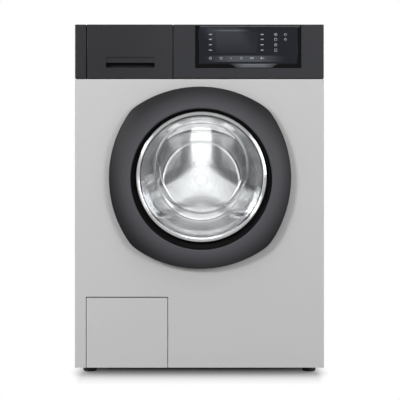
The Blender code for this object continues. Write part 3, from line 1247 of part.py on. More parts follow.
def drum_back():
    """Pressed rear wall of the drum."""
    y = DRUM_BACK_Y - DRUM_SHEET
    dish = HEM_RADIUS * DISH_SHARE
    line = [(HEM_RADIUS, y - DRUM_HEM), (HEM_RADIUS, y - DRUM_SHEET * 2), (HEM_RADIUS - DRUM_SHEET * 2, y),
            (dish + DRUM_DISH * 2, y), (dish, y - DRUM_DISH), (0, y - DRUM_DISH)]
    return paint(turned("drum_back", line, AXIS, ring=False, steps=FINE, wall=DRUM_SHEET), "stainless")


def lifter(name, angle):
    """Paddle along the drum wall."""
    seat = (DRUM_RADIUS - DRUM_SHEET) * cos(pi / FINE) - FIT
    half = LIFTER_FOOT / 2
    spread = atan2(half, seat)
    base = [(seat * sin(a), -seat * cos(a)) for a in (-spread, -spread / 2, 0, spread / 2, spread)]
    crown = -seat + LIFTER_HEIGHT
    edge = LIFTER_EDGE
    top = LIFTER_CROWN / 2
    outline = base + [(half - edge, base[-1][1] + edge), (top, crown - edge), (top - edge, crown),
                      (edge - top, crown), (-top, crown - edge), (edge - half, base[0][1] + edge)]
    middle = (DRUM_FRONT_Y + DRUM_BACK_Y) / 2
    paddle = slab(name, [outline], middle - LIFTER_LENGTH / 2, middle + LIFTER_LENGTH / 2)
    paddle.data.transform(Matrix.Translation(AXIS) @ Matrix.Rotation(angle, 4, "Y"))
    return paint(paddle, "grey plastic")


def drum_spider():
    """Three armed cross behind the drum, with the shaft that runs in the bearings."""
    front = DRUM_BACK_Y + FIT
    tip = DRUM_RADIUS - DRUM_HEM / 2
    hub = rod("drum_spider", (AXIS_X, front, AXIS_Z), (AXIS_X, front + SPIDER_THICKNESS, AXIS_Z),
              SPIDER_HUB_RADIUS, sides=MEDIUM)
    arms = []
    for i in range(3):
        outline = [(0, -SPIDER_ROOT_WIDTH / 2), (tip, -SPIDER_TIP_WIDTH / 2), (tip, SPIDER_TIP_WIDTH / 2),
                   (0, SPIDER_ROOT_WIDTH / 2)]
        arm = slab("arm", [outline], front, front + SPIDER_TIP_THICKNESS)
        arm.data.transform(Matrix.Translation(AXIS) @ Matrix.Rotation(pi / 2 + 2 * pi * i / 3, 4, "Y"))
        arms.append(arm)
    shaft = rod("shaft", (AXIS_X, front + SPIDER_TIP_THICKNESS, AXIS_Z), (AXIS_X, SHAFT_BACK_Y, AXIS_Z),
                SHAFT_RADIUS)
    return paint(join(hub, *arms, shaft), "cast aluminium")


def drive_pulley():
    """Large pulley with lightening holes."""
    web_front = (PULLEY_FRONT_Y + PULLEY_BACK_Y - PULLEY_WEB) / 2
    web_back = web_front + PULLEY_WEB
    bore = SHAFT_RADIUS + FIT
    rim = PULLEY_RADIUS - PULLEY_RIM
    profile = [(bore, PULLEY_FRONT_Y), (PULLEY_HUB, PULLEY_FRONT_Y), (PULLEY_HUB, web_front),
               (rim, web_front), (rim, PULLEY_FRONT_Y), (PULLEY_RADIUS, PULLEY_FRONT_Y),
               (PULLEY_RADIUS, PULLEY_BACK_Y), (rim, PULLEY_BACK_Y), (rim, web_back),
               (PULLEY_HUB, web_back), (PULLEY_HUB, PULLEY_BACK_Y), (bore, PULLEY_BACK_Y)]
    wheel = turned("drive_pulley", profile, AXIS, steps=FINE)
    ring = (PULLEY_HUB + rim) / 2
    holes = []
    for x, z in circle((AXIS_X, AXIS_Z), ring, PULLEY_HOLE_COUNT):
        holes.append(rod("hole", (x, web_front - OVERRUN, z), (x, web_back + OVERRUN, z), PULLEY_HOLE_RADIUS))
    return paint(cut(wheel, *holes), "cast aluminium")


def motor_pulley():
    """Small flanged pulley with its shaft."""
    flange = MOTOR_PULLEY_RADIUS + BELT_THICKNESS * 1.5
    low = (PULLEY_FRONT_Y + PULLEY_BACK_Y - BELT_WIDTH) / 2 - FIT * 2
    high = low + BELT_WIDTH + FIT * 4
    edge = BELT_THICKNESS / 2
    start = MOTOR_BACK_Y - MOTOR_SHAFT * 4 + FIT
    profile = [(0, start), (MOTOR_SHAFT, start),
               (MOTOR_SHAFT, low - edge), (flange, low - edge), (flange, low), (MOTOR_PULLEY_RADIUS, low),
               (MOTOR_PULLEY_RADIUS, high), (flange, high), (flange, high + edge), (0, high + edge)]
    return paint(turned("motor_pulley", profile, (MOTOR_X, 0, MOTOR_Z), ring=False, steps=SMALL), "steel")


def belt_outline(gap):
    """Loop round both pulleys at a distance from them, with its chords clear of their faces."""
    across = MOTOR_X - AXIS_X
    down = MOTOR_Z - AXIS_Z
    heading = atan2(down, across)
    large = (PULLEY_RADIUS + gap) / cos(2 * pi / MEDIUM / 3)
    small = (MOTOR_PULLEY_RADIUS + gap) / cos(pi / TINY / 2)
    tilt = acos((large - small) / sqrt(across ** 2 + down ** 2))
    ends = [heading + tilt, heading + 2 * pi - tilt, heading - tilt, heading + tilt]
    first, last, start, stop = [a * 180 / pi for a in ends]
    return (arc((AXIS_X, AXIS_Z), large, first, last, MEDIUM)
            + arc((MOTOR_X, MOTOR_Z), small, start, stop, TINY))


def drive_belt():
    """Flat ribbed belt."""
    middle = (PULLEY_FRONT_Y + PULLEY_BACK_Y) / 2
    loops = [belt_outline(FIT + BELT_THICKNESS), belt_outline(FIT)]
    belt = slab("drive_belt", loops, middle - BELT_WIDTH / 2, middle + BELT_WIDTH / 2)
    return paint(belt, "rubber")


def spring_route():
    """Centre line of a suspension spring with straight tails, about its own axis."""
    mean = SPRING_RADIUS - SPRING_WIRE
    coil = SPRING_LENGTH - 2 * SPRING_TAIL
    steps = SPRING_TURNS * SPRING_STEPS
    points = [(0, 0, 0)]
    for i in range(steps + 1):
        share = i / steps
        radius = mean * min(1, SPRING_TURNS * share, SPRING_TURNS * (1 - share))
        angle = 2 * pi * SPRING_TURNS * share
        points.append((radius * cos(angle), radius * sin(angle), SPRING_TAIL + coil * share))
    return points + [(0, 0, SPRING_LENGTH)]


def suspension_spring(name, side):
    """Tension spring from the side panel's bracket to the tub's ear."""
    low = SPRING_TOP - SPRING_LENGTH
    trim = FIT
    route = [(side * SPRING_X + x, SPRING_Y + y, low + z) for x, y, z in spring_route()]
    route[0] = (route[0][0], route[0][1], low + trim / 2)
    route[-1] = (route[-1][0], route[-1][1], SPRING_TOP - trim)
    return paint(tube(name, route, SPRING_WIRE, 1), "steel")


def spring_gap():
    """Least gap between neighbouring coils of a spring."""
    pitch = (SPRING_LENGTH - 2 * SPRING_TAIL) / SPRING_TURNS
    return pitch - 2 * SPRING_WIRE


def damper_cylinder(name, side):
    """Friction damper body on the tray, open at the top."""
    x = side * DAMPER_X
    low = TRAY_FLOOR + FIT
    half = DAMPER_FOOT / 2
    foot = box(name, (x - half, DAMPER_Y - half, low), (x + half, DAMPER_Y + half, low + half))
    body = rod("cylinder", (x, DAMPER_Y, low + half / 2), (x, DAMPER_Y, DAMPER_TOP), DAMPER_RADIUS)
    bore = rod("cylinder bore", (x, DAMPER_Y, DAMPER_ROD_BOTTOM - DAMPER_FOOT),
               (x, DAMPER_Y, DAMPER_TOP + OVERRUN), DAMPER_BORE)
    return paint(cut(join(foot, body), bore), "steel")


def damper_rod(name, side):
    """Rod that slides in the damper and ends under the tub's lug."""
    x = side * DAMPER_X
    bar = rod(name, (x, DAMPER_Y, DAMPER_ROD_BOTTOM), (x, DAMPER_Y, DAMPER_ROD_TOP), DAMPER_ROD)
    return paint(bar, "steel")


def drain_pump():
    """Filter housing, volute and pump motor in one block, on two legs."""
    radius = PUMP_HOUSING_RADIUS
    volute_back = PUMP_VOLUTE_Y + PUMP_VOLUTE_LENGTH
    profile = [(0, PUMP_FRONT_Y), (radius, PUMP_FRONT_Y), (radius, PUMP_VOLUTE_Y),
               (PUMP_VOLUTE_RADIUS, PUMP_VOLUTE_Y), (PUMP_VOLUTE_RADIUS, volute_back),
               (PUMP_MOTOR_RADIUS, volute_back), (PUMP_MOTOR_RADIUS, volute_back + PUMP_MOTOR_LENGTH),
               (0, volute_back + PUMP_MOTOR_LENGTH)]
    pump = turned("drain_pump", profile, (FILTER_X, 0, FILTER_Z), ring=False, steps=MEDIUM)
    half = radius * PUMP_LEG_SHARE
    legs = []
    for front in (PUMP_FRONT_Y + PUMP_VOLUTE_LENGTH / 2, PUMP_VOLUTE_Y + PUMP_VOLUTE_LENGTH / 2):
        legs.append(box("leg", (FILTER_X - half, front, TRAY_FLOOR + FIT),
                        (FILTER_X + half, front + TRAY_WALL * 2, FILTER_Z)))
    inlet = rod("inlet", (FILTER_X, pump_inlet_y(), FILTER_Z), (pump_inlet_x(), pump_inlet_y(), FILTER_Z),
                SPIGOT_RADIUS - SPIGOT_WALL)
    outlet = rod("outlet", (FILTER_X, pump_outlet_y(), FILTER_Z),
                 (pump_outlet_x(), pump_outlet_y(), FILTER_Z), DRAIN_HOSE_RADIUS - SPIGOT_WALL / 2)
    bore = rod("filter bore", (FILTER_X, PUMP_FRONT_Y - OVERRUN, FILTER_Z),
               (FILTER_X, PUMP_FRONT_Y + CAP_PLUG_LENGTH + SPIGOT_WALL, FILTER_Z), CAP_PLUG_RADIUS + FIT * 3,
               sides=MEDIUM)
    return paint(cut(join(pump, *legs, inlet, outlet), bore), "grey plastic")


def pump_inlet_x():
    """End of the pump's inlet spigot."""
    return FILTER_X + PUMP_HOUSING_RADIUS + SPIGOT_LENGTH


def pump_inlet_y():
    """Inlet spigot, in the middle of the filter housing behind the cap's plug."""
    return PUMP_VOLUTE_Y - SPIGOT_RADIUS - PUMP_VOLUTE_LENGTH


def pump_outlet_x():
    """End of the pump's outlet spigot."""
    return FILTER_X - PUMP_VOLUTE_RADIUS - SPIGOT_LENGTH


def pump_outlet_y():
    """Outlet spigot, in the middle of the volute."""
    return PUMP_VOLUTE_Y + PUMP_VOLUTE_LENGTH / 2


def pump_hose():
    """Hose from the sump down to the pump."""
    x0 = pump_inlet_x() + FIT
    y0 = pump_inlet_y()
    x1 = AXIS_X - SUMP_HALF_WIDTH + SPIGOT_RADIUS + TUB_WALL
    y1 = SUMP_FRONT_Y + SPIGOT_RADIUS + TUB_WALL
    top = SUMP_BOTTOM - SPIGOT_LENGTH - FIT
    bend = SPIGOT_LENGTH
    route = [(x0, y0, FILTER_Z), (x0 + bend, y0, FILTER_Z), (x1 - bend, (y0 * 2 + y1) / 3, FILTER_Z),
             (x1, y1 - bend, (FILTER_Z * 2 + top) / 3), (x1, y1, top - bend), (x1, y1, top)]
    return paint(tube("pump_hose", smooth_path(route, HOSE_RADIUS), HOSE_RADIUS), "rubber")


def drain_hose():
    """Hose from the pump along the tray and up the rear corner to the outlet."""
    radius = DRAIN_HOSE_RADIUS
    x0 = pump_outlet_x() - FIT
    y0 = pump_outlet_y()
    wall_x = -HALF_WIDTH + SHEET + radius * 2.8
    rear_y = REAR_Y - radius * 4.5
    bend = radius * 2
    end_y = REAR_Y - SHEET - SPIGOT_LENGTH - FIT
    route = [(x0, y0, FILTER_Z), (x0 - radius, y0, FILTER_Z), (wall_x, y0 + bend * 1.5, FILTER_Z),
             (wall_x, 0, FILTER_Z + bend / 2), (wall_x, rear_y - bend * 3, FILTER_Z + bend),
             (wall_x, rear_y, FILTER_Z + bend * 3), (wall_x + radius / 2, rear_y, (FILTER_Z + DRAIN_Z) / 2),
             (DRAIN_X - radius, rear_y, DRAIN_Z - bend * 5), (DRAIN_X, rear_y - radius, DRAIN_Z - bend * 2),
             (DRAIN_X, rear_y, DRAIN_Z - radius / 3), (DRAIN_X, end_y - radius, DRAIN_Z),
             (DRAIN_X, end_y, DRAIN_Z)]
    return paint(tube("drain_hose", smooth_path(route, radius * 4), radius), "rubber")


def connection(name, x, z, radius, inside, proud, bore, kind):
    """Spigot through the rear panel with its flange plate inside."""
    start = REAR_Y - SHEET - inside
    spigot = rod(name, (x, start, z), (x, REAR_Y + proud, z), radius)
    seat = REAR_Y - SHEET - FIT
    plate = rod("plate", (x, seat - CONNECTION_PLATE, z), (x, seat, z), radius + CONNECTION_FLANGE / 2)
    hole = rod("bore", (x, start - OVERRUN if bore == "through" else REAR_Y - inside / 2, z),
               (x, REAR_Y + proud + OVERRUN, z), radius * CONNECTION_BORE_SHARE)
    return paint(cut(join(spigot, plate), hole), kind)


def drain_outlet():
    """Spigot at the back for the household drain."""
    return connection("drain_outlet", DRAIN_X, DRAIN_Z, DRAIN_SPIGOT_RADIUS, SPIGOT_LENGTH, SPIGOT_PROUD,
                      "through", "grey plastic")


def inlet_valve():
    """Solenoid valve with the threaded spigot for the supply."""
    valve = connection("inlet_valve", VALVE_X, VALVE_Z, VALVE_SPIGOT_RADIUS, SPIGOT_LENGTH, SPIGOT_PROUD,
                       "blind", "white plastic")
    back = REAR_Y - SHEET - SPIGOT_LENGTH + OVERRUN
    front = back - VALVE_BODY_LENGTH
    body = rod("body", (VALVE_X, front, VALVE_Z), (VALVE_X, back, VALVE_Z), VALVE_BODY_RADIUS)
    middle = (front + back) / 2
    coil = rod("coil", (VALVE_X, middle, VALVE_Z), (VALVE_X, middle, VALVE_Z + VALVE_BODY_RADIUS * 2),
               VALVE_BODY_RADIUS - SPIGOT_WALL)
    outlet = rod("outlet", (VALVE_X, middle, VALVE_Z), (valve_outlet_x(), middle, VALVE_Z),
                 INLET_HOSE_RADIUS)
    return paint(join(valve, body, coil, outlet), "white plastic")


def valve_outlet_x():
    """End of the valve's outlet towards the drawer housing."""
    return VALVE_X - VALVE_BODY_RADIUS - SPIGOT_LENGTH / 2


def inlet_hose():
    """Hose from the valve across the back to the drawer housing."""
    y0 = REAR_Y - SHEET - SPIGOT_LENGTH + OVERRUN - VALVE_BODY_LENGTH / 2
    end_y = HOUSING_FRONT_Y + HOUSING_DEPTH + HOUSING_WALL + FIT
    bend = INLET_HOSE_RADIUS * 3
    x0 = valve_outlet_x() - FIT
    z0 = VALVE_Z
    route = [(x0, y0, z0), (x0 - bend, y0, z0), (BIN_CENTRE_X + bend * 5, y0, z0),
             (BIN_CENTRE_X + bend, y0 - bend * 2, z0), (BIN_CENTRE_X, y0 - bend * 5, z0),
             (BIN_CENTRE_X, end_y + bend, z0), (BIN_CENTRE_X, end_y, z0)]
    path = smooth_path(route, INLET_HOSE_RADIUS * 6)
    return paint(tube("inlet_hose", path, INLET_HOSE_RADIUS), "rubber")


def power_gland():
    """Strain relief for the mains lead, which is left out."""
    return connection("power_gland", GLAND_X, GLAND_Z, GLAND_RADIUS, SPIGOT_LENGTH / 2, GLAND_PROUD,
                      "through", "black")


def dispenser_hose():
    """Short bellows from the drawer housing down to the tub."""
    low = filler_height() + FIT
    high = BIN_BOTTOM - BIN_RUNNING_GAP - HOUSING_WALL - SPIGOT_WALL - FIT
    outer = BELLOWS_RADIUS
    inner = BELLOWS_RADIUS - BELLOWS_FOLD
    pitch = (high - low) / (BELLOWS_FOLDS + 1)
    line = [(inner, low)]
    for i in range(BELLOWS_FOLDS):
        middle = low + pitch * (i + 1)
        line += [(inner, middle - pitch / 2), (outer, middle)]
    line += [(inner, high - pitch / 2), (inner, high)]
    hose = turned("dispenser_hose", line, (BELLOWS_X, BELLOWS_Y, 0), "Z", SMALL, ring=False,
                  wall=GASKET_WALL / 2)
    return paint(hose, "rubber")


def foot(name, x, y):
    """Levelling foot: rubber pad, nut and threaded stem."""
    lock = FLOOR_CLEARANCE - FIT
    nut = FOOT_STEM * 2
    profile = [(0, 0), (FOOT_RADIUS - FOOT_EDGE, 0), (FOOT_RADIUS, FOOT_EDGE), (FOOT_RADIUS, FOOT_PAD / 2),
               (nut, FOOT_PAD), (nut, lock), (FOOT_STEM, lock),
               (FOOT_STEM, TRAY_TOP - TRAY_WALL * 2), (0, TRAY_TOP - TRAY_WALL * 2)]
    return paint(turned(name, profile, (x, y, 0), "Z", SMALL, ring=False), "rubber")


def build_cabinet():
    """Everything that is fixed to the cabinet."""
    base_tray()
    side_panel("side_panel_left", -1)
    side_panel("side_panel_right", 1)
    rear_panel()
    rear_cover()
    worktop()
    front_panel()
    control_fascia()
    display_frame()
    display_glass()
    control_board()
    dispenser_housing()
    door_hinge()
    door_lock()
    drain_pump()
    drain_hose()
    drain_outlet()
    inlet_valve()
    inlet_hose()
    power_gland()
    damper_cylinder("damper_cylinder_left", -1)
    damper_cylinder("damper_cylinder_right", 1)
    pump_hose()
    dispenser_hose()
    door_gasket()
    suspension_spring("suspension_spring_left", -1)
    suspension_spring("suspension_spring_right", 1)


def build_washing_unit():
    """The tub that swings on the springs, with the drum that turns in it."""
    tub_pivot = pivot("tub_slide", AXIS)
    carry(tub_pivot, outer_tub(), tub_front(), front_counterweight(), top_counterweight(),
          bearing("bearing_front", HUB_FRONT_Y + BEARING_WIDTH * 1.5),
          bearing("bearing_rear", HUB_BACK_Y - BEARING_WIDTH / 4), heater(), motor(), drive_belt(),
          damper_rod("damper_rod_left", -1), damper_rod("damper_rod_right", 1))
    drum_pivot = pivot("drum_axis", AXIS, tub_pivot)
    carry(drum_pivot, drum_shell(), drum_front(), drum_back(), drum_spider(), drive_pulley())
    for i in range(LIFTER_COUNT):
        carry(drum_pivot, lifter(f"drum_lifter_{i + 1}", 2 * pi * i / LIFTER_COUNT))
    rotor_pivot = pivot("rotor_axis", (MOTOR_X, PULLEY_FRONT_Y, MOTOR_Z), tub_pivot)
    carry(rotor_pivot, motor_pulley())


def build_door():
    """The door on its hinge."""
    door_pivot = pivot("door_axis", (DOOR_AXIS_X, DOOR_AXIS_Y, DOOR_CENTRE_Z))
    carry(door_pivot, door_ring(), door_inner_frame(), door_glass(), door_bezel(), latch_hook())


def build_small_movers():
    """Drawer, flap, filter cap and feet."""
    drawer_slide = pivot("drawer_slide", (BIN_CENTRE_X, FRONT_Y, BIN_BOTTOM))
    carry(drawer_slide, drawer_front(), drawer_tray())
    carry(pivot("flap_axis", (FLAP_LEFT, FLAP_AXIS_Y, FLAP_AXIS_Z)), service_flap())
    carry(pivot("filter_axis", (FILTER_X, PUMP_FRONT_Y, FILTER_Z)), filter_cap())
    names = ("foot_left_front", "foot_left_rear", "foot_right_front", "foot_right_rear")
    for name, (x, y) in zip(names, foot_places()):
        carry(pivot(f"{name}_slide", (x, y, 0)), foot(name, x, y))


clear_scene()
PARTS = make_collection("washing_machine")
CUTTERS = make_collection("cutters")
build_cabinet()
build_washing_unit()
build_door()
build_small_movers()
print(f"least gap between the coils of a spring: {spring_gap() * 1000:.2f} mm")
print(f"solids: {sum(obj.type == 'MESH' for obj in PARTS.objects)}")
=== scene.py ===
# %% [markdown]
# # A front-loading washing machine, dressed for its picture
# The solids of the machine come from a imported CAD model, and this lesson gives them their looks.
# Most panels keep their CAD shape and get softened edges and a paint. The door, the drum, the rubber
# and the panel with its display are worked out again as fine surfaces, because they fill the picture.

# %% Load the frame
import math

import bmesh
import bpy
import numpy as np
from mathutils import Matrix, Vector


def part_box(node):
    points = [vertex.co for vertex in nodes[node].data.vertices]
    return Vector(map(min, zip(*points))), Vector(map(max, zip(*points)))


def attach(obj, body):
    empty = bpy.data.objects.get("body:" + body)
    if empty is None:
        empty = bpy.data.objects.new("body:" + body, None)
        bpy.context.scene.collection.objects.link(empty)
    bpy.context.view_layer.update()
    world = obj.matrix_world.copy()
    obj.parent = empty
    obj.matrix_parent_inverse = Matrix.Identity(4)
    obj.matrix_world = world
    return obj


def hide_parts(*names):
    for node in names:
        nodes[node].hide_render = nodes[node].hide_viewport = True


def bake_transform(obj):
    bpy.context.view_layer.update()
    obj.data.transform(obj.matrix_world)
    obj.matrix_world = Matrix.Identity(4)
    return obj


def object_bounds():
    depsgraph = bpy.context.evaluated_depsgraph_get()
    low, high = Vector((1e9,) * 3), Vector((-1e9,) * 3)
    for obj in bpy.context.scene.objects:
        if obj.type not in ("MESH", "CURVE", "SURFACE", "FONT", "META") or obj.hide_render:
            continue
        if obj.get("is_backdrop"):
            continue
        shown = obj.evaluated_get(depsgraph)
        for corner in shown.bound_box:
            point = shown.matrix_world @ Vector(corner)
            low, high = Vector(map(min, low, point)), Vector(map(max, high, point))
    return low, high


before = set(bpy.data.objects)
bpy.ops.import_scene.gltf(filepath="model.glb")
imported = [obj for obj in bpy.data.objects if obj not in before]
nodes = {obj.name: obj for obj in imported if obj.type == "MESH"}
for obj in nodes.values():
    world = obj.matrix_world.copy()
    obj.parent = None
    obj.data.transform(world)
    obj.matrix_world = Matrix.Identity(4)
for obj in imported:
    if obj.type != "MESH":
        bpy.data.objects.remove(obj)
scene = bpy.context.scene
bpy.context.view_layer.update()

# %% [markdown]
# ## The places that many pieces share
# Everything is in metres and in the frame of the CAD model: X to the right, the door towards -Y, Z up
# from the floor. These are the CAD's own numbers, written again so that the finer pieces meet it.

# %% Shared places
FRONT, REAR = -0.295, 0.305             # faces of the front panel and the rear panel
HALF_WIDTH = 0.300
BOWL = np.array([0.0048, 0.0, 0.4825])  # on the axis of the bowl and the drum
RING = np.array([0.0014, 0.0, 0.4803])  # middle of the door's ring
ROUND = 192                             # sides of the large round pieces
print("front panel at y =", FRONT, "- axis of the drum at x, z =", BOWL[0], BOWL[2])

# %% [markdown]
# ## Surfaces from arrays
# A grid of points, rows by columns, becomes a mesh in one go: the corner numbers of all its quads are
# computed as whole arrays. A turned piece is such a grid, with a profile along one way and the angle
# along the other.

# %% From a grid of points to a mesh
def add_mesh(name, points, quads, body, smooth=40.0):
    """A mesh object from an (n, 3) array of points and an (m, 4) array of corner numbers.

    The body is None for a piece that crosses between two bodies, which is then given to neither.
    """
    mesh = bpy.data.meshes.new(name)
    mesh.from_pydata(points.tolist(), [], quads.tolist())
    bm = bmesh.new()
    bm.from_mesh(mesh)
    bmesh.ops.remove_doubles(bm, verts=bm.verts, dist=1e-6)
    bmesh.ops.dissolve_degenerate(bm, edges=bm.edges, dist=1e-7)
    bmesh.ops.recalc_face_normals(bm, faces=bm.faces)
    bm.to_mesh(mesh)
    bm.free()
    mesh.shade_smooth()
    mesh.set_sharp_from_angle(angle=math.radians(smooth))
    piece = bpy.data.objects.new(name, mesh)
    scene.collection.objects.link(piece)
    if body:
        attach(piece, body)
    return piece


def grid_quads(rows, columns, wrap_rows=False, wrap_columns=False):
    """Corner numbers of the quads between neighbouring rows and columns of a grid."""
    last_row = rows if wrap_rows else rows - 1
    last_column = columns if wrap_columns else columns - 1
    i, j = np.meshgrid(np.arange(last_row), np.arange(last_column), indexing="ij")
    i, j = i.ravel(), j.ravel()
    up, right = (i + 1) % rows, (j + 1) % columns
    corners = (i * columns + j, up * columns + j, up * columns + right, i * columns + right)
    return np.stack(corners, axis=1)


def skin(name, grid, body, wrap_rows=False, wrap_columns=False, smooth=40.0):
    """A mesh over a (rows, columns, 3) grid of points."""
    rows, columns = grid.shape[:2]
    quads = grid_quads(rows, columns, wrap_rows, wrap_columns)
    return add_mesh(name, grid.reshape(-1, 3), quads, body, smooth)


def turned_grid(profile, centre, axis="Y", sides=ROUND):
    """Grid of a turned shape: each (radius, along) of the profile goes round the axis.

    With the axis along Y, x = cx + r cos a, z = cz + r sin a and y is the place along the axis.
    """
    profile = np.asarray(profile, dtype=float)
    angle = np.linspace(0, 2 * np.pi, sides, endpoint=False)[:, None]
    radius, along = profile[None, :, 0], profile[None, :, 1] + 0 * angle
    c, s = radius * np.cos(angle), radius * np.sin(angle)
    if axis == "Y":
        return np.stack([centre[0] + c, centre[1] + along, centre[2] + s], axis=2)
    return np.stack([centre[0] + c, centre[1] + s, centre[2] + along], axis=2)


def turned(name, profile, centre, body, axis="Y", sides=ROUND, closed=True, smooth=40.0):
    """A turned piece. A closed profile wraps onto itself; otherwise it runs from axis to axis."""
    grid = turned_grid(profile, centre, axis, sides)
    return skin(name, grid, body, wrap_rows=True, wrap_columns=closed, smooth=smooth)


def finished(piece, material, node=None):
    """Gives a piece its material, and lets it stand for a CAD node where it replaces one."""
    piece.data.materials.append(material)
    if node:
        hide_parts(node)
    return piece


def there_and_back(line, other):
    """A closed profile: along one line and back along the other."""
    return np.vstack([line, other[::-1]])


print("a turned test ring has", turned_grid([(1, 0), (2, 0)], (0, 0, 0)).shape, "points")

# %% [markdown]
# ## The camera
# The photograph is taken level with the middle of the machine, straight on, from some way off: its
# upright edges stay parallel. A lens of 93 mm at two and a half metres from the front gives that view.
# The camera looks along +Y with no tilt, so no shift is needed.

# %% Camera
DISTANCE = 2.5                    # from the front panel to the lens
FRAME_WIDTH = 0.9635              # width of the picture at the front panel
CAMERA_X, CAMERA_Z = 0.0014, 0.4269
camera_data = bpy.data.cameras.new("camera")
camera_data.lens = camera_data.sensor_width * DISTANCE / FRAME_WIDTH
camera = bpy.data.objects.new("camera", camera_data)
camera.location = (CAMERA_X, FRONT - DISTANCE, CAMERA_Z)
camera.rotation_euler = (math.radians(90), 0, 0)
scene.collection.objects.link(camera)
scene.camera = camera
print("lens", round(camera_data.lens, 1), "mm")

# %% [markdown]
# ## Shader helpers
# A material is a small graph. These helpers place a node and link it in one line. The Principled
# shader stays in each material, and so do Fresnel and Light Path; the effects that several materials
# share are node groups, which hand back only a colour, a number or a normal.

# %% Helpers for shader graphs
def new_material(name, colour, roughness, metallic=0.0, **more):
    """A material with its Principled shader; more holds sockets by name, such as Coat_Weight."""
    material = bpy.data.materials.new(name)
    material.use_nodes = True
    material.diffuse_color = (*colour, 1)
    shader = material.node_tree.nodes["Principled BSDF"]
    shader.inputs["Base Color"].default_value = (*colour, 1)
    for socket, value in {"Roughness": roughness, "Metallic": metallic, **more}.items():
        shader.inputs[socket.replace("_", " ")].default_value = value
    return material, shader


def put(tree, kind, **values):
    """A node in a tree; values set its properties, or its inputs where it has no such property."""
    node = tree.nodes.new(kind)
    for key, value in values.items():
        if hasattr(node, key):
            setattr(node, key, value)
        else:
            node.inputs[key.replace("_", " ")].default_value = value
    return node


def join_up(tree, *pairs):
    """Links pairs of (output, input)."""
    for out, into in pairs:
        tree.links.new(out, into)


def calc(tree, operation, first, second=0.5, third=0.0):
    """The output of a Math node. An operand is a number or another node's output."""
    node = put(tree, "ShaderNodeMath", operation=operation)
    for socket, value in zip(node.inputs, (first, second, third)):
        if isinstance(value, (int, float)):
            socket.default_value = value
        else:
            tree.links.new(value, socket)
    return node.outputs[0]


def length(tree, one, other):
    """The output of sqrt(one^2 + other^2)."""
    squares = [calc(tree, "MULTIPLY", side, side) for side in (one, other)]
    return calc(tree, "SQRT", calc(tree, "ADD", *squares))


def blend_colours(tree, factor, one, other):
    """The output of a colour Mix node. Colours are triples or outputs."""
    node = put(tree, "ShaderNodeMix", data_type="RGBA")
    for socket, value in ((node.inputs[0], factor), (node.inputs[6], one), (node.inputs[7], other)):
        if isinstance(value, (int, float)):
            socket.default_value = value
        elif isinstance(value, tuple):
            socket.default_value = (*value, 1)
        else:
            tree.links.new(value, socket)
    return node.outputs[2]


def place(tree):
    """The outputs for X, Y and Z of the Object coordinates."""
    parts = put(tree, "ShaderNodeSeparateXYZ")
    join_up(tree, (put(tree, "ShaderNodeTexCoord").outputs["Object"], parts.inputs[0]))
    return tuple(parts.outputs)


def ramp(tree, value, low, high, out_low=0.0, out_high=1.0):
    """The output of a smooth Map Range from low..high to out_low..out_high."""
    node = put(tree, "ShaderNodeMapRange", interpolation_type="SMOOTHSTEP", From_Min=low, From_Max=high,
               To_Min=out_low, To_Max=out_high)
    join_up(tree, (value, node.inputs["Value"]))
    return node.outputs[0]


def inside(tree, value, low, high, soft):
    """1 between low and high and 0 beyond, with soft ends."""
    return calc(tree, "MULTIPLY", ramp(tree, value, low - soft, low + soft),
                ramp(tree, value, high - soft, high + soft, 1.0, 0.0))


def raised(tree, height, strength, distance=0.0005):
    """The normal that a Bump node makes of a height."""
    bump = put(tree, "ShaderNodeBump", Strength=strength, Distance=distance)
    join_up(tree, (height, bump.inputs["Height"]))
    return bump.outputs[0]


print("shader helpers ready")

# %% [markdown]
# ## Three shared effects
# - **Fine grain** is the texture that nearly every moulded or painted surface has: a small noise for
#   the bump, and a slower one that varies the tone.
# - **Edge wear** finds edges by comparing the bevelled normal with the true one. Paint is a touch
#   lighter there, and so are plastic and rubber.
# - **Brushing** is noise stretched along one direction, as on drawn metal.

# %% Groups: fine grain, edge wear and brushing
def group(name, inputs, outputs):
    """An empty node group. Inputs are given as (name, kind, default), and each output is a number."""
    tree = bpy.data.node_groups.new(name, "ShaderNodeTree")
    for label, kind, default in inputs:
        tree.interface.new_socket(name=label, in_out="INPUT", socket_type=kind).default_value = default
    for label in outputs:
        tree.interface.new_socket(name=label, in_out="OUTPUT", socket_type="NodeSocketFloat")
    return tree, put(tree, "NodeGroupInput"), put(tree, "NodeGroupOutput")


def make_grain_group():
    """Height and tone of a fine grain: two noises on Object coordinates."""
    tree, given, result = group(
        "fine grain",
        [("Size", "NodeSocketFloat", 900.0), ("Tone Size", "NodeSocketFloat", 9.0),
         ("Tone Spread", "NodeSocketFloat", 0.04)],
        ["Height", "Tone"])
    where = put(tree, "ShaderNodeTexCoord").outputs["Object"]
    fine = put(tree, "ShaderNodeTexNoise", Detail=2.0)
    slow = put(tree, "ShaderNodeTexNoise", Detail=3.0)
    join_up(tree, (where, fine.inputs["Vector"]), (given.outputs["Size"], fine.inputs["Scale"]),
            (where, slow.inputs["Vector"]), (given.outputs["Tone Size"], slow.inputs["Scale"]))
    centred = calc(tree, "SUBTRACT", slow.outputs["Fac"], 0.5)
    spread = calc(tree, "MULTIPLY_ADD", centred, given.outputs["Tone Spread"], 1.0)
    join_up(tree, (fine.outputs["Fac"], result.inputs["Height"]), (spread, result.inputs["Tone"]))
    return tree


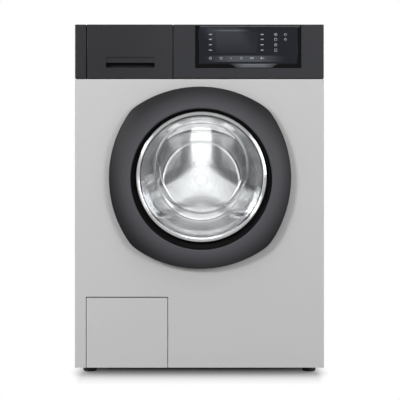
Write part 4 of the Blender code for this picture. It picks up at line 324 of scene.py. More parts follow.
def make_wear_group():
    """Edge mask from 0 on a flat to 1 on an edge: 1 - N . N(bevelled), broken up by noise."""
    tree, given, result = group("edge wear", [("Radius", "NodeSocketFloat", 0.002)], ["Mask"])
    bevel = put(tree, "ShaderNodeBevel", samples=4)
    geometry = put(tree, "ShaderNodeNewGeometry")
    dot = put(tree, "ShaderNodeVectorMath", operation="DOT_PRODUCT")
    where = put(tree, "ShaderNodeTexCoord").outputs["Object"]
    noise = put(tree, "ShaderNodeTexNoise", Scale=140.0, Detail=2.0)
    join_up(tree, (given.outputs["Radius"], bevel.inputs["Radius"]), (bevel.outputs[0], dot.inputs[0]),
            (geometry.outputs["Normal"], dot.inputs[1]), (where, noise.inputs["Vector"]))
    bent = calc(tree, "SUBTRACT", 1.0, dot.outputs["Value"])
    broken = ramp(tree, noise.outputs["Fac"], 0.3, 0.7, 0.4, 1.0)
    mask = calc(tree, "MULTIPLY", ramp(tree, bent, 0.01, 0.25), broken)
    join_up(tree, (mask, result.inputs["Mask"]))
    return tree


def make_brush_group():
    """Height of brushing: noise on coordinates that a scale per axis stretches."""
    tree, given, result = group("brushing", [("Along", "NodeSocketVector", (900.0, 900.0, 12.0))],
                                ["Height"])
    where = put(tree, "ShaderNodeTexCoord").outputs["Object"]
    stretch = put(tree, "ShaderNodeVectorMath", operation="MULTIPLY")
    noise = put(tree, "ShaderNodeTexNoise", Scale=1.0, Detail=3.0)
    join_up(tree, (where, stretch.inputs[0]), (given.outputs["Along"], stretch.inputs[1]),
            (stretch.outputs[0], noise.inputs["Vector"]), (noise.outputs["Fac"], result.inputs["Height"]))
    return tree


GRAIN, WEAR, BRUSH = make_grain_group(), make_wear_group(), make_brush_group()
print("groups:", GRAIN.name, "|", WEAR.name, "|", BRUSH.name)

# %% [markdown]
# ## Paint, plastic, metal and rubber
# Each finish starts from one recipe with its own numbers: the grain varies the tone and raises the
# bump, and wear lightens the edges. A brushed metal swaps the grain for its own pattern. Where light or
# shade is painted over a piece, as the shade at the fascia's left end, a mask lays another tone over it.

# %% A finish with grain and wear
def finish(name, colour, roughness, metallic=0.0, grain=900.0, bump=0.02, tone=0.06, tone_size=9.0,
           edge=1.0, spread=0.0, **more):
    """Base Color = colour x tone, lifted towards edge x colour on worn edges; Bump from the grain."""
    material, shader = new_material(name, colour, roughness, metallic, **more)
    tree = material.node_tree
    texture = put(tree, "ShaderNodeGroup", node_tree=GRAIN, Size=grain, Tone_Size=tone_size,
                  Tone_Spread=tone)
    mixer = put(tree, "ShaderNodeVectorMath", operation="SCALE")
    mixer.inputs[0].default_value = colour
    join_up(tree, (texture.outputs["Tone"], mixer.inputs["Scale"]))
    toned = mixer.outputs[0]
    if edge != 1.0:
        wear = put(tree, "ShaderNodeGroup", node_tree=WEAR)
        worn = tuple(min(1.0, c * edge) for c in colour)
        toned = blend_colours(tree, wear.outputs["Mask"], toned, worn)
    if spread:
        varied = calc(tree, "MULTIPLY_ADD", texture.outputs["Height"], spread, roughness - spread / 2)
        join_up(tree, (varied, shader.inputs["Roughness"]))
    join_up(tree, (toned, shader.inputs["Base Color"]),
            (raised(tree, texture.outputs["Height"], bump), shader.inputs["Normal"]))
    return material


def lay_over(material, colour, mask):
    """Blends a finish towards a colour where mask(tree, x, y, z) is 1.

    A number in place of the colour stands for the finish's own tone times that number.
    """
    tree = material.node_tree
    into = tree.nodes["Principled BSDF"].inputs["Base Color"]
    toned = into.links[0].from_socket
    if isinstance(colour, float):
        scaled = put(tree, "ShaderNodeVectorMath", operation="SCALE", Scale=colour)
        join_up(tree, (toned, scaled.inputs[0]))
        colour = scaled.outputs[0]
    join_up(tree, (blend_colours(tree, mask(tree, *place(tree)), toned, colour), into))


def renamed_copy(material, name):
    """A copy of a finish under a name of its own."""
    copy = material.copy()
    copy.name = name
    return copy


def brushed(name, colour, roughness, along):
    """A brushed metal: the stretched noise varies Roughness and raises the Bump."""
    material, shader = new_material(name, colour, roughness, metallic=1.0)
    tree = material.node_tree
    brush = put(tree, "ShaderNodeGroup", node_tree=BRUSH, Along=along)
    varied = calc(tree, "MULTIPLY_ADD", brush.outputs["Height"], 0.16, roughness - 0.08)
    join_up(tree, (varied, shader.inputs["Roughness"]),
            (raised(tree, brush.outputs["Height"], 0.05), shader.inputs["Normal"]))
    return material


LEFT_SHADE_SPAN = (-0.26, 0.02)                # x where the painted shade is full, and where it has gone


def shaded_left_end(tree, x, y, z):
    """1 at the left end of the fascia and 0 from its middle on: where shade is painted."""
    return ramp(tree, x, *LEFT_SHADE_SPAN, 1.0, 0.0)


silver_paint = finish("silver paint", (0.53, 0.53, 0.53), 0.42, grain=1600.0, bump=0.04, tone=0.02,
                      tone_size=5.0, edge=1.12, Coat_Weight=0.15, Coat_Roughness=0.25)
rear_paint = finish("rear sheet", (0.50, 0.51, 0.52), 0.48, metallic=0.25, grain=700.0, bump=0.05,
                    tone=0.10, tone_size=14.0, edge=1.15)
worktop_paint = finish("worktop laminate", (0.52, 0.52, 0.52), 0.62, grain=1300.0, bump=0.08, tone=0.03,
                       edge=1.06, Specular_IOR_Level=0.15)
zinc = finish("zinc coated sheet", (0.52, 0.54, 0.56), 0.38, metallic=0.85, grain=55.0, bump=0.03,
              tone=0.35, tone_size=60.0, edge=1.15, spread=0.15)
fascia_plastic = finish("anthracite fascia", (0.0262, 0.0267, 0.0310), 0.44, grain=1800.0, bump=0.10,
                        tone=0.04, edge=1.25, Specular_IOR_Level=0.25)
# The left end of the fascia, and so the drawer's front, is painted darker, as the shade that falls there.
lay_over(fascia_plastic, 0.56, shaded_left_end)
black_plastic = finish("black plastic", (0.014, 0.014, 0.015), 0.38, grain=1500.0, bump=0.12, tone=0.08,
                       edge=1.5)
grey_plastic = finish("grey plastic", (0.42, 0.43, 0.44), 0.50, grain=1000.0, bump=0.12, tone=0.05,
                      edge=1.08)
tub_plastic = finish("filled tub plastic", (0.52, 0.53, 0.53), 0.62, grain=350.0, bump=0.25, tone=0.10,
                     tone_size=25.0, edge=1.06)
white_plastic = finish("white plastic", (0.78, 0.78, 0.77), 0.45, grain=1000.0, bump=0.10, tone=0.03,
                       edge=1.05)
rubber = finish("grey rubber", (0.36, 0.365, 0.37), 0.62, grain=420.0, bump=0.20, tone=0.12,
                tone_size=30.0, edge=1.2, spread=0.12)
black_rubber = finish("black rubber", (0.022, 0.022, 0.023), 0.60, grain=420.0, bump=0.22, tone=0.20,
                      tone_size=30.0, edge=1.3, spread=0.12)
concrete = finish("cast concrete", (0.36, 0.35, 0.33), 0.92, grain=110.0, bump=0.9, tone=0.40,
                  tone_size=45.0, edge=1.12)
cast_metal = finish("cast aluminium", (0.60, 0.60, 0.61), 0.52, metallic=1.0, grain=260.0, bump=0.35,
                    tone=0.12, tone_size=40.0, edge=1.15)
board_lacquer = finish("green solder mask", (0.02, 0.14, 0.06), 0.30, grain=500.0, bump=0.05, tone=0.20,
                       tone_size=80.0, edge=1.2)
steel = brushed("bright steel", (0.55, 0.55, 0.56), 0.30, (30.0, 700.0, 700.0))
print("finishes:", len(bpy.data.materials))

# %% [markdown]
# ## Panels that keep their CAD shape
# The sheets, the tray and the inner parts are right as they are, but real edges are never razor sharp.
# A CAD node comes as loose triangles, so a copy is welded, its flat faces are merged, and a small Bevel
# catches the light along every edge. Weighted normals then keep the large faces flat: without them the
# shading of a narrow eased edge would spread across the whole panel. The copy stands for the node.
# The flap has a dark line painted along its upper edge, as the shade in its seam.

# %% Softened copies of CAD nodes
WELD = 2e-5                       # corners closer than this are one
PANEL_EDGE = 0.0007               # width of the eased edge of an outer panel
FLAP_TOP, SEAM_SHADE_HEIGHT = 0.192, 0.0007


def softened(node, width, body, material, angle=40.0):
    """A welded copy of a CAD node with bevelled edges, which replaces the node."""
    mesh = nodes[node].data.copy()
    bm = bmesh.new()
    bm.from_mesh(mesh)
    bmesh.ops.remove_doubles(bm, verts=bm.verts, dist=WELD)
    bmesh.ops.dissolve_limit(bm, angle_limit=math.radians(0.5), verts=bm.verts, edges=bm.edges)
    bm.to_mesh(mesh)
    bm.free()
    mesh.materials.clear()
    piece = bpy.data.objects.new(f"{node}_soft", mesh)
    scene.collection.objects.link(piece)
    mesh.shade_smooth()
    mesh.set_sharp_from_angle(angle=math.radians(angle))
    bevel = piece.modifiers.new("edges", "BEVEL")
    bevel.width = width
    bevel.segments = 2
    bevel.limit_method = "ANGLE"
    bevel.angle_limit = math.radians(angle)
    flatten = piece.modifiers.new("flat faces", "WEIGHTED_NORMAL")
    flatten.weight = 100
    flatten.keep_sharp = True
    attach(piece, body)
    return finished(piece, material, node)


def dress(material, *names):
    """Gives CAD nodes that stay as they are one of the materials."""
    for name in names:
        nodes[name].data.materials.clear()
        nodes[name].data.materials.append(material)


def painted_seam_shade(tree, x, y, z):
    """1 on the narrow band under the flap's upper edge, where the seam's shade is painted."""
    return ramp(tree, z, FLAP_TOP - SEAM_SHADE_HEIGHT, FLAP_TOP - SEAM_SHADE_HEIGHT + 0.0002)


flap_paint = renamed_copy(silver_paint, "flap paint")
# A narrow band under the flap's upper edge is painted dark, as the shade in its seam.
lay_over(flap_paint, (0.02, 0.02, 0.02), painted_seam_shade)
for panel in ("front_panel", "side_panel_left", "side_panel_right"):
    softened(panel, PANEL_EDGE, "cabinet", silver_paint)
softened("service_flap", PANEL_EDGE, "flap", flap_paint)
softened("worktop", 0.0012, "cabinet", worktop_paint, angle=20.0)
softened("rear_panel", 0.0004, "cabinet", rear_paint)
softened("base_tray", 0.0008, "cabinet", zinc)
softened("drawer_tray", 0.0006, "drawer", grey_plastic)
softened("dispenser_housing", 0.0006, "cabinet", white_plastic)
softened("filter_cap", 0.0012, "filter", black_plastic, angle=35.0)
softened("door_lock", 0.0010, "cabinet", white_plastic)
softened("door_hinge", 0.0005, "cabinet", steel, angle=35.0)
softened("latch_hook", 0.0006, "door", steel)
softened("door_inner_frame", 0.0004, "door", black_plastic, angle=35.0)

# %% [markdown]
# ## The nodes that stay
# What is seen only through a gap or when the machine stands open keeps its CAD mesh, with a finish of
# its own kind.

# %% Finishes of the nodes that stay
dress(tub_plastic, "outer_tub", "tub_front")
dress(concrete, "front_counterweight", "top_counterweight")
dress(cast_metal, "drum_spider", "drive_pulley")
dress(steel, "bearing_front", "bearing_rear", "heater", "motor", "motor_pulley")
dress(steel, "damper_cylinder_left", "damper_cylinder_right", "damper_rod_left", "damper_rod_right")
dress(grey_plastic, "drain_pump", "drain_outlet")
dress(white_plastic, "inlet_valve")
dress(black_plastic, "power_gland")
dress(black_rubber, "drive_belt")
dress(black_rubber, "foot_left_front", "foot_left_rear", "foot_right_front", "foot_right_rear")
dress(board_lacquer, "control_board")
print("finishes given to the nodes that stay")

# %% [markdown]
# ## The dark ring of the door
# Its outline is neither round nor square: four shallow arcs meet at eased corners. The distance from
# the centre to each arc is known in closed form, and a soft minimum of the four eases the corners. The
# surface is a loft from that outline to the round bore, domed on the way, so a grid of angle by share
# describes all of it.

# %% Outline and dome of the ring
SIDE_ARC, HALF_SIDE, CORNER = 0.272, 0.218, 0.0016
WALL_BACK, WALL_FRONT, RING_FRONT = FRONT - 0.0055, FRONT - 0.0190, FRONT - 0.030
BORE_RADIUS, BORE_SHIFT = 0.1686, (0.0032, -0.0039)
SKIN = 0.0025
BORE_BACK = WALL_BACK - 0.0023
LIP_START, LIP_DEPTH = 0.955, 0.004     # share where the dome turns into the lip, and the lip's depth


def ring_outline(angle):
    """Distance to the outline: a soft minimum of sqrt(R^2 - (s sin b)^2) - s cos b over four sides.

    b is the angle from the middle of a side, R the radius of its arc and s how far the arc's centre
    lies beyond the ring's own centre.
    """
    shift = SIDE_ARC - HALF_SIDE
    turn = angle[:, None] - np.arange(4)[None, :] * np.pi / 2
    reach = np.sqrt(SIDE_ARC ** 2 - (shift * np.sin(turn)) ** 2) - shift * np.cos(turn)
    near = reach.min(axis=1, keepdims=True)
    return (near - CORNER * np.log(np.exp((near - reach) / CORNER).sum(axis=1, keepdims=True)))[:, 0]


def ring_grid(section, angles):
    """Points at (share, y, inset): share 0 is the outline and share 1 the bore, both moved by inset."""
    share, y, inset = np.asarray(section).T
    a = angles[:, None]
    outer = ring_outline(angles)[:, None] - inset
    bore = BORE_RADIUS + inset
    x = RING[0] + (1 - share) * outer * np.cos(a) + share * (BORE_SHIFT[0] + bore * np.cos(a))
    z = RING[2] + (1 - share) * outer * np.sin(a) + share * (BORE_SHIFT[1] + bore * np.sin(a))
    return np.stack([x, y + 0 * a, z], axis=2)


def dome(share):
    """Height of the dome between wall and front: sin of share x pi/2, flattened towards the bore."""
    return WALL_FRONT - (WALL_FRONT - RING_FRONT) * np.sin(np.clip(share, 0, 1) * np.pi / 2)


def lip(a):
    """The lip at the bore: a quarter of an ellipse from the dome inwards."""
    return LIP_START + (1 - LIP_START) * np.sin(a), RING_FRONT + LIP_DEPTH * (1 - np.cos(a)), 0.0


outer_skin = [(0.0, WALL_BACK, 0.0006), (0.0, WALL_BACK - 0.0006, 0.0), (0.0, WALL_FRONT + 0.001, 0.0)]
outer_skin += [(s, dome(s), 0.0) for s in np.linspace(0.02, LIP_START, 20)]
outer_skin += [lip(a) for a in np.linspace(0, np.pi / 2, 7)]
outer_skin += [(1.0, BORE_BACK, 0.0)]
inner_skin = [(1.0, BORE_BACK, SKIN), (1.0, RING_FRONT + LIP_DEPTH + SKIN, SKIN)]
inner_skin += [(s, dome(s) + SKIN, SKIN) for s in (0.8, 0.6, 0.4, 0.2)]
inner_skin += [(0.0, WALL_FRONT + SKIN, SKIN), (0.0, WALL_BACK, SKIN)]
ring_angles = np.linspace(0, 2 * np.pi, 288, endpoint=False)
door_ring = skin("door_ring_domed", ring_grid(outer_skin + inner_skin, ring_angles), "door",
                 wrap_rows=True, wrap_columns=True, smooth=50.0)
print("door ring:", len(door_ring.data.polygons), "faces")

# %% [markdown]
# ## A satin plastic, with light and shade painted on
# The ring is moulded in the same anthracite as the fascia. Its tone is painted with the light and shade
# of the dome: darker where the dome turns away to the outline and paler along the bore, so the tone
# follows the radius. The pale part leans a little to the lower right. Inside the bore the ring is
# painted nearly black, as shade.

# %% Finish of the ring
TONE_CENTRE = RING + np.array([0.0060, 0.0, -0.0080])
PALE_RADIUS, DARK_RADIUS = 0.164, 0.228
THROAT_RADII, THROAT_DEPTHS = (0.1720, 0.1745), (RING_FRONT + 0.0015, RING_FRONT + 0.005)


def offsets(tree, x, z, centre):
    """How far a point lies from an axis along Y, in X and in Z."""
    return calc(tree, "SUBTRACT", x, float(centre[0])), calc(tree, "SUBTRACT", z, float(centre[2]))


def painted_bore_light(tree, x, y, z):
    """1 at the bore and 0 at the outline, for the painted light on the dome."""
    distance = length(tree, *offsets(tree, x, z, TONE_CENTRE))
    return ramp(tree, distance, PALE_RADIUS, DARK_RADIUS, 1.0, 0.0)


def painted_throat_shade(tree, x, y, z):
    """1 inside the bore, behind its lip, where shade is painted."""
    distance = length(tree, *offsets(tree, x, z, TONE_CENTRE))
    return calc(tree, "MULTIPLY", ramp(tree, y, *THROAT_DEPTHS),
                ramp(tree, distance, *THROAT_RADII, 1.0, 0.0))


ring_plastic = finish("anthracite ring", (0.013, 0.013, 0.0145), 0.42, grain=1700.0, bump=0.10,
                      tone=0.05, Specular_IOR_Level=0.14)
# The ring is painted paler towards the bore and darker towards the outline, as light and shade on the dome.
lay_over(ring_plastic, 6.5, painted_bore_light)
# Inside the bore, behind its lip, the ring is painted nearly black, as shade.
lay_over(ring_plastic, (0.001, 0.001, 0.001), painted_throat_shade)
finished(door_ring, ring_plastic, "door_ring")
print("ring: pale within", PALE_RADIUS, "and dark beyond", DARK_RADIUS)

# %% [markdown]
# ## The black funnel and the bright bezel
# Between the bore and the glass runs a black funnel. The bore and the glass don't share a centre, so it
# is a loft between two circles and is much wider at the foot. The bezel is turned, with a bead, two fine
# grooves and an inner lip that rests on the glass.

# %% Funnel
def loft_circles(name, circles, body):
    """A skin through circles (cx, y, cz, radius): each row of the grid is one circle."""
    cx, y, cz, radius = circles.T[:, None, :]
    a = np.linspace(0, 2 * np.pi, ROUND, endpoint=False)[:, None]
    grid = np.stack([cx + radius * np.cos(a), y + 0 * a, cz + radius * np.sin(a)], axis=2)
    return skin(name, grid, body, wrap_rows=True, wrap_columns=True, smooth=30.0)


front_circle = np.array([RING[0] + BORE_SHIFT[0], FRONT - 0.0240, RING[2] + BORE_SHIFT[1],
                         BORE_RADIUS - 0.0004])
back_circle = np.array([BOWL[0], FRONT - 0.0095, BOWL[2], 0.1579])
steps = np.linspace(0, 1, 9)[:, None]
facing = front_circle * (1 - steps) + back_circle * steps
curve = steps[:, 0] ** 1.6
facing[:, 1] = front_circle[1] * (1 - curve) + back_circle[1] * curve
behind = facing + np.array([0, 0.0008, 0, 0.0003])
funnel = loft_circles("bore_funnel", there_and_back(facing, behind), "door")
finished(funnel, finish("funnel black", (0.001, 0.001, 0.0012), 0.50, grain=1500.0, bump=0.05, tone=0.08,
                        Specular_IOR_Level=0.06))
print("funnel:", len(funnel.data.polygons), "faces")

# %% Bezel
BEZEL_BACK, BEZEL_FRONT = FRONT - 0.0078, FRONT - 0.0155
SEAT_DEPTH = 0.0044                     # how far the two inner ends reach to the front
SKIRT_IN, SKIRT_OUT = 0.1563, 0.1575
BEAD_LINE = ((0.1475, 0.0026), (0.1482, 0.0010), (0.1494, 0.0002), (0.1506, 0.0002), (0.1509, 0.0008),
             (0.1513, 0.0008), (0.1516, 0.0), (0.1530, 0.0), (0.1533, 0.0007), (0.1537, 0.0007),
             (0.1540, 0.0), (0.1556, 0.0001), (0.1568, 0.0009), (0.1575, 0.0023))


def rounded(points, radius, steps):
    """A profile with its corners rounded.

    Each corner becomes a quadratic curve: (1-t)^2 A + 2t(1-t) corner + t^2 B, where A and B lie on the
    two sides at the rounding's length, or at half a short side.
    """
    points = np.asarray(points, dtype=float)
    to_before, to_after = np.roll(points, 1, axis=0) - points, np.roll(points, -1, axis=0) - points
    len_before = np.linalg.norm(to_before, axis=1)
    len_after = np.linalg.norm(to_after, axis=1)
    cut = np.minimum(radius, 0.45 * np.minimum(len_before, len_after))
    a = points + to_before * (cut / len_before)[:, None]
    b = points + to_after * (cut / len_after)[:, None]
    t = np.linspace(0, 1, steps)[None, :, None]
    curve = (1 - t) ** 2 * a[:, None] + 2 * t * (1 - t) * points[:, None] + t ** 2 * b[:, None]
    return curve.reshape(-1, 2)


def chrome_finish():
    """Polished chrome with a slow smear: Roughness = 0.05 + 0.08 x grain."""
    material, shader = new_material("bright chrome", (0.86, 0.86, 0.87), 0.09, 1.0)
    tree = material.node_tree
    polish = put(tree, "ShaderNodeGroup", node_tree=GRAIN, Size=60.0)
    join_up(tree, (calc(tree, "MULTIPLY_ADD", polish.outputs["Height"], 0.08, 0.05),
                   shader.inputs["Roughness"]))
    return material


bezel_profile = [(BEAD_LINE[0][0], BEZEL_BACK - SEAT_DEPTH)]
bezel_profile += [(radius, BEZEL_FRONT + depth) for radius, depth in BEAD_LINE]
bezel_profile += [(SKIRT_OUT, BEZEL_BACK), (SKIRT_IN, BEZEL_BACK), (SKIRT_IN, BEZEL_BACK - SEAT_DEPTH)]
bezel = turned("door_bezel_beaded", rounded(bezel_profile, 0.0004, 3), BOWL, "door", smooth=25.0)
finished(bezel, chrome_finish(), "door_bezel")
print("bezel:", len(bezel.data.polygons), "faces")

# %% [markdown]
# ## The glass bowl
# The bowl is turned glass, five millimetres thick, and its deep end is set higher than its rim so that
# the washing is pushed back into the drum. That lift is a shear: each point rises in proportion to how
# deep it lies. The deep end is slightly crowned, because flat glass would be weak.

# %% Bowl
DEPTH, RISE, GLASS = 0.107, 0.0275, 0.005
FLAT_RADIUS, END_RADIUS, END_CURVE, MOUTH_RADIUS = 0.094, 0.098, 0.020, 0.150
CROWN = 0.004
RIM_LINE = ((0.1500, 0.0), (0.1555, 0.0), (0.1560, 0.0008), (0.1560, 0.0036), (0.1555, 0.0040),
            (0.1460, 0.0040))


def corner_curve(centre_y, radius):
    """Quarter circle from pointing in to pointing out: (r, y) = centre + radius (cos a, sin a)."""
    a = np.linspace(np.pi / 2, 0, 9)
    return np.stack([END_RADIUS + radius * np.cos(a), centre_y + radius * np.sin(a)], axis=1)


def crowned(tip):
    """The deep end from the axis out: tip - crown x (1 - (r / its radius)^2)."""
    radius = np.linspace(0, FLAT_RADIUS, 9)
    return np.stack([radius, tip - CROWN * (1 - (radius / END_RADIUS) ** 2)], axis=1)


def wall(foot, mouth, shares):
    """Points of the straight wall between its foot and the mouth, at shares of its length."""
    share = np.array(shares)[:, None]
    return np.array(foot) * (1 - share) + np.array(mouth) * share


def bowl_profile():
    """Outer wall from the axis out to the rim, round the rim, and the inner wall back to the axis."""
    tip = BEZEL_BACK + DEPTH
    turn = tip - END_CURVE
    foot, mouth = END_RADIUS + END_CURVE, MOUTH_RADIUS
    outer = [crowned(tip), corner_curve(turn, END_CURVE),
             wall((foot, turn), (mouth, BEZEL_BACK), (0.3, 0.6, 0.85))]
    rim = [(radius, BEZEL_BACK - depth) for radius, depth in RIM_LINE]
    inner = [wall((foot - GLASS, turn), (mouth - GLASS, BEZEL_BACK), (0.9, 0.6, 0.3)),
             corner_curve(turn, END_CURVE - GLASS)[::-1], crowned(tip - GLASS)[::-1]]
    return np.vstack([*outer, rim, *inner])


def glass_finish():
    """Clear glass with a faint haze of wiping.

    For shadow rays it is plainly see-through, so that the lamps in front reach the drum.
    """
    material, shader = new_material("bowl glass", (0.97, 0.985, 0.985), 0.0, IOR=1.45,
                                    Transmission_Weight=1.0)
    tree = material.node_tree
    see_through = put(tree, "ShaderNodeBsdfTransparent", Color=(0.93, 0.95, 0.95, 1))
    switch = put(tree, "ShaderNodeMixShader")
    wipe = put(tree, "ShaderNodeGroup", node_tree=GRAIN, Size=35.0)
    join_up(tree, (put(tree, "ShaderNodeLightPath").outputs["Is Shadow Ray"], switch.inputs[0]),
            (shader.outputs[0], switch.inputs[1]), (see_through.outputs[0], switch.inputs[2]),
            (switch.outputs[0], tree.nodes["Material Output"].inputs["Surface"]),
            (calc(tree, "MULTIPLY", wipe.outputs["Height"], 0.03), shader.inputs["Roughness"]))
    return material


bowl_grid = turned_grid(bowl_profile(), BOWL)
bowl_grid[:, :, 2] += RISE / DEPTH * np.clip(bowl_grid[:, :, 1] - BEZEL_BACK, 0, None)
bowl = skin("door_bowl", bowl_grid, "door", wrap_rows=True, smooth=60.0)
finished(bowl, glass_finish(), "door_glass")
print("bowl:", len(bowl.data.polygons), "faces")

# %% [markdown]
# ## Stainless steel for the drum
# A drum is rolled and spun from thin sheet, so its brushing runs round the axis. Noise that reads only
# the distance from the axis gives fine rings on the back and the front. They are raised enough to draw
# each highlight out into a ray from the middle, as on any spun disc. On the wall the brushing runs along
# the sheet. The wall is also punched with rows of small holes, which are a pattern worked out from
# the angle and the depth.

# %% Finishes of the drum
PUNCHED_SHEET = (0.42, 0.42, 0.43)
HOLE_PITCH, HOLE_RADIUS, DRUM_R = 0.0146, 0.0016, 0.238
HOLES_ROUND = round(2 * math.pi * DRUM_R / HOLE_PITCH)
ROW_SHARE = math.sin(math.pi / 3)       # height of a row of an even lattice, over the pitch


def spun_steel():
    """Steel with rings round the axis: noise of r alone varies Roughness and raises the Bump."""
    material, shader = new_material("spun stainless", (0.66, 0.66, 0.67), 0.24, 1.0)
    tree = material.node_tree
    x, y, z = place(tree)
    rings = put(tree, "ShaderNodeTexNoise", noise_dimensions="1D", Scale=900.0, Detail=2.0)
    join_up(tree, (length(tree, *offsets(tree, x, z, BOWL)), rings.inputs["W"]))
    height = rings.outputs["Fac"]
    join_up(tree, (raised(tree, height, 0.60, distance=0.0003), shader.inputs["Normal"]),
            (calc(tree, "MULTIPLY_ADD", height, 0.10, 0.17), shader.inputs["Roughness"]))
    return material


def lattice(tree, u, v, shift):
    """Distance to the nearest point of a lattice one apart in u and two apart in v."""
    du = calc(tree, "SUBTRACT", calc(tree, "FRACT", calc(tree, "ADD", u, shift / 2)), 0.5)
    half = calc(tree, "MULTIPLY_ADD", v, 0.5, shift / 2)
    dv = calc(tree, "SUBTRACT", calc(tree, "FRACT", half), 0.5)
    return length(tree, du, calc(tree, "MULTIPLY", dv, 2 * ROW_SHARE))


def punched_steel():
    """Brushed steel with staggered holes: u counts holes round the drum and v rows along it."""
    material = brushed("punched stainless", PUNCHED_SHEET, 0.24, (60.0, 1100.0, 60.0))
    tree = material.node_tree
    shader = tree.nodes["Principled BSDF"]
    x, y, z = place(tree)
    dx, dz = offsets(tree, x, z, BOWL)
    u = calc(tree, "MULTIPLY", calc(tree, "ARCTAN2", dz, dx), HOLES_ROUND / (2 * math.pi))
    v = calc(tree, "DIVIDE", y, HOLE_PITCH * ROW_SHARE)
    nearest = calc(tree, "MINIMUM", lattice(tree, u, v, 0.0), lattice(tree, u, v, 1.0))
    size = HOLE_RADIUS / HOLE_PITCH
    # The holes are not cut: they are painted nearly black, as the shade seen through them.
    hole = ramp(tree, nearest, size * 0.9, size * 1.1, 1.0, 0.0)
    join_up(tree, (calc(tree, "SUBTRACT", 1.0, hole), shader.inputs["Metallic"]),
            (blend_colours(tree, hole, PUNCHED_SHEET, (0.01, 0.01, 0.01)), shader.inputs["Base Color"]))
    return material


spun, punched = spun_steel(), punched_steel()
print("holes round the drum:", HOLES_ROUND)

# %% [markdown]
# ## The drum
# Its back is the brightest thing behind the glass. Three shallow arms are pressed forward in it, a lower
# one straight up and two full ones down to the sides, where the cast cross is riveted on behind. That
# relief is a height over angle and radius: the arms stay forward, and the windows between them sink
# slowly out to a bead and then in a cone to the rim.

# %% Back of the drum
DRUM_FRONT, DRUM_BACK, SHEET = -0.205, 0.075, 0.001
ARMS = ((90, 0.45), (205, 1.0), (335, 1.0))           # angle, and rise as a share of the relief
ARM_SIDES, ARM_SLOPE, HUB_SLOPE = (0.025, 0.060), (0.150, 0.208), (0.030, 0.066)
RELIEF, WINDOW_DROP, BACK_GAP = 0.0135, 0.0075, 0.0015
BEAD_RADIUS, BEAD_WIDTH, BEAD_RISE = 0.105, 0.0022, 0.0012
CONE_SLOPE = (BEAD_RADIUS + 0.002, 0.160)
PLATE_RADIUS = 0.228
HEM = ((0.2310, 0.0002), (0.2335, 0.0007), (0.2352, 0.0017), (0.2359, 0.0030), (0.2362, 0.0115))


def smooth_step(x, low, high):
    """3t^2 - 2t^3 with t from 0 at low to 1 at high."""
    t = np.clip((x - low) / (high - low), 0, 1)
    return t * t * (3 - 2 * t)


def ridge(x, middle, half):
    """A rounded ridge: exp(-((x - middle) / half)^2)."""
    return np.exp(-((x - middle) / half) ** 2)


def arm_share(radius, angle):
    """Share of the relief, 1 at most: a strip for each arm, and they meet in a soft hub."""
    share = 1 - smooth_step(radius, *HUB_SLOPE)
    for arm, rise in ARMS:
        turn = angle - math.radians(arm)
        along, aside = radius * np.cos(turn), np.abs(radius * np.sin(turn))
        strip = (1 - smooth_step(aside, *ARM_SIDES)) * smooth_step(along, -0.02, 0.02)
        share = np.maximum(share, rise * strip)
    return share


def drum_back_grid():
    """Back wall: y = plane - (window(r) + (arm(r) - window(r)) * share(r, a)), then the hem forward."""
    angle = np.linspace(0, 2 * np.pi, 384, endpoint=False)[:, None]
    plate = np.linspace(0.0, PLATE_RADIUS, 150)
    hem_radius, hem_fold = np.array(HEM).T
    radius = np.concatenate([plate, hem_radius])[None, :]
    fold = np.concatenate([0 * plate, hem_fold])[None, :]
    arm = RELIEF * (1 - smooth_step(radius, *ARM_SLOPE))
    window = RELIEF - WINDOW_DROP * smooth_step(radius, 0.02, 0.10)
    window = window * (1 - smooth_step(radius, *CONE_SLOPE))
    bead = BEAD_RISE * ridge(radius, BEAD_RADIUS, BEAD_WIDTH)
    y = DRUM_BACK - BACK_GAP - window - (arm - window) * arm_share(radius, angle) - bead - fold
    return np.stack([BOWL[0] + radius * np.cos(angle), y, BOWL[2] + radius * np.sin(angle)], axis=2)


back_grid = drum_back_grid()
behind_grid = back_grid[:, ::-1] + np.array([0, SHEET, 0])
drum_back = skin("drum_back_pressed", np.concatenate([back_grid, behind_grid], axis=1), "drum",
                 wrap_rows=True, smooth=60.0)
finished(drum_back, spun, "drum_back")
print("drum back:", len(drum_back.data.polygons), "faces")

# %% Wall and front of the drum
HEM_RADIUS, MOUTH, ROLL, FRONT_SHEET = 0.2362, 0.1685, 0.008, 0.0009
FRONT_STEPS = ((HEM_RADIUS, 0.012), (HEM_RADIUS, 0.003), (0.2350, 0.0015), (0.2335, 0.001), (0.205, 0.001),
               (0.203, -0.0006), (0.190, -0.0006), (0.188, 0.001))


def across(line):
    """Unit normals of a profile: its steps (dr, dy) turned to (dy, -dr)."""
    step = np.gradient(line, axis=0)
    return np.stack([step[:, 1], -step[:, 0]], axis=1) / np.linalg.norm(step, axis=1)[:, None]


shell_line = np.array([(DRUM_R - SHEET, y) for y in np.linspace(DRUM_FRONT, DRUM_BACK, 15)])
shell_profile = there_and_back(shell_line, shell_line + np.array([SHEET, 0]))
drum_shell = turned("drum_shell_punched", shell_profile, BOWL, "drum", sides=256)
finished(drum_shell, punched, "drum_shell")

front_line = [(radius, DRUM_FRONT + step) for radius, step in FRONT_STEPS]
front_line += [(MOUTH + ROLL - ROLL * np.sin(a), DRUM_FRONT + 0.001 - ROLL * (1 - np.cos(a)))
               for a in np.linspace(0, np.pi / 2, 8)]
front_line = np.array(front_line)
front_profile = there_and_back(front_line, front_line + FRONT_SHEET * across(front_line))
drum_front = turned("drum_front_rolled", front_profile, BOWL, "drum", sides=256)
finished(drum_front, spun, "drum_front")
print("drum wall and front:", len(drum_shell.data.polygons), "and", len(drum_front.data.polygons), "faces")

# %% [markdown]
# ## The back
# The back is one thin sheet, so long beads are pressed out of it to keep it from drumming, with louvres
# beside them for the motor's air. A bead is a height over a rounded strip, 1 - v^2 across it; a louvre
# is the same with its crest moved to the lower edge. The round cover over the pulley is pressed too: a
# flange, a slope and a flat with one ring. Hexagon screws hold both.

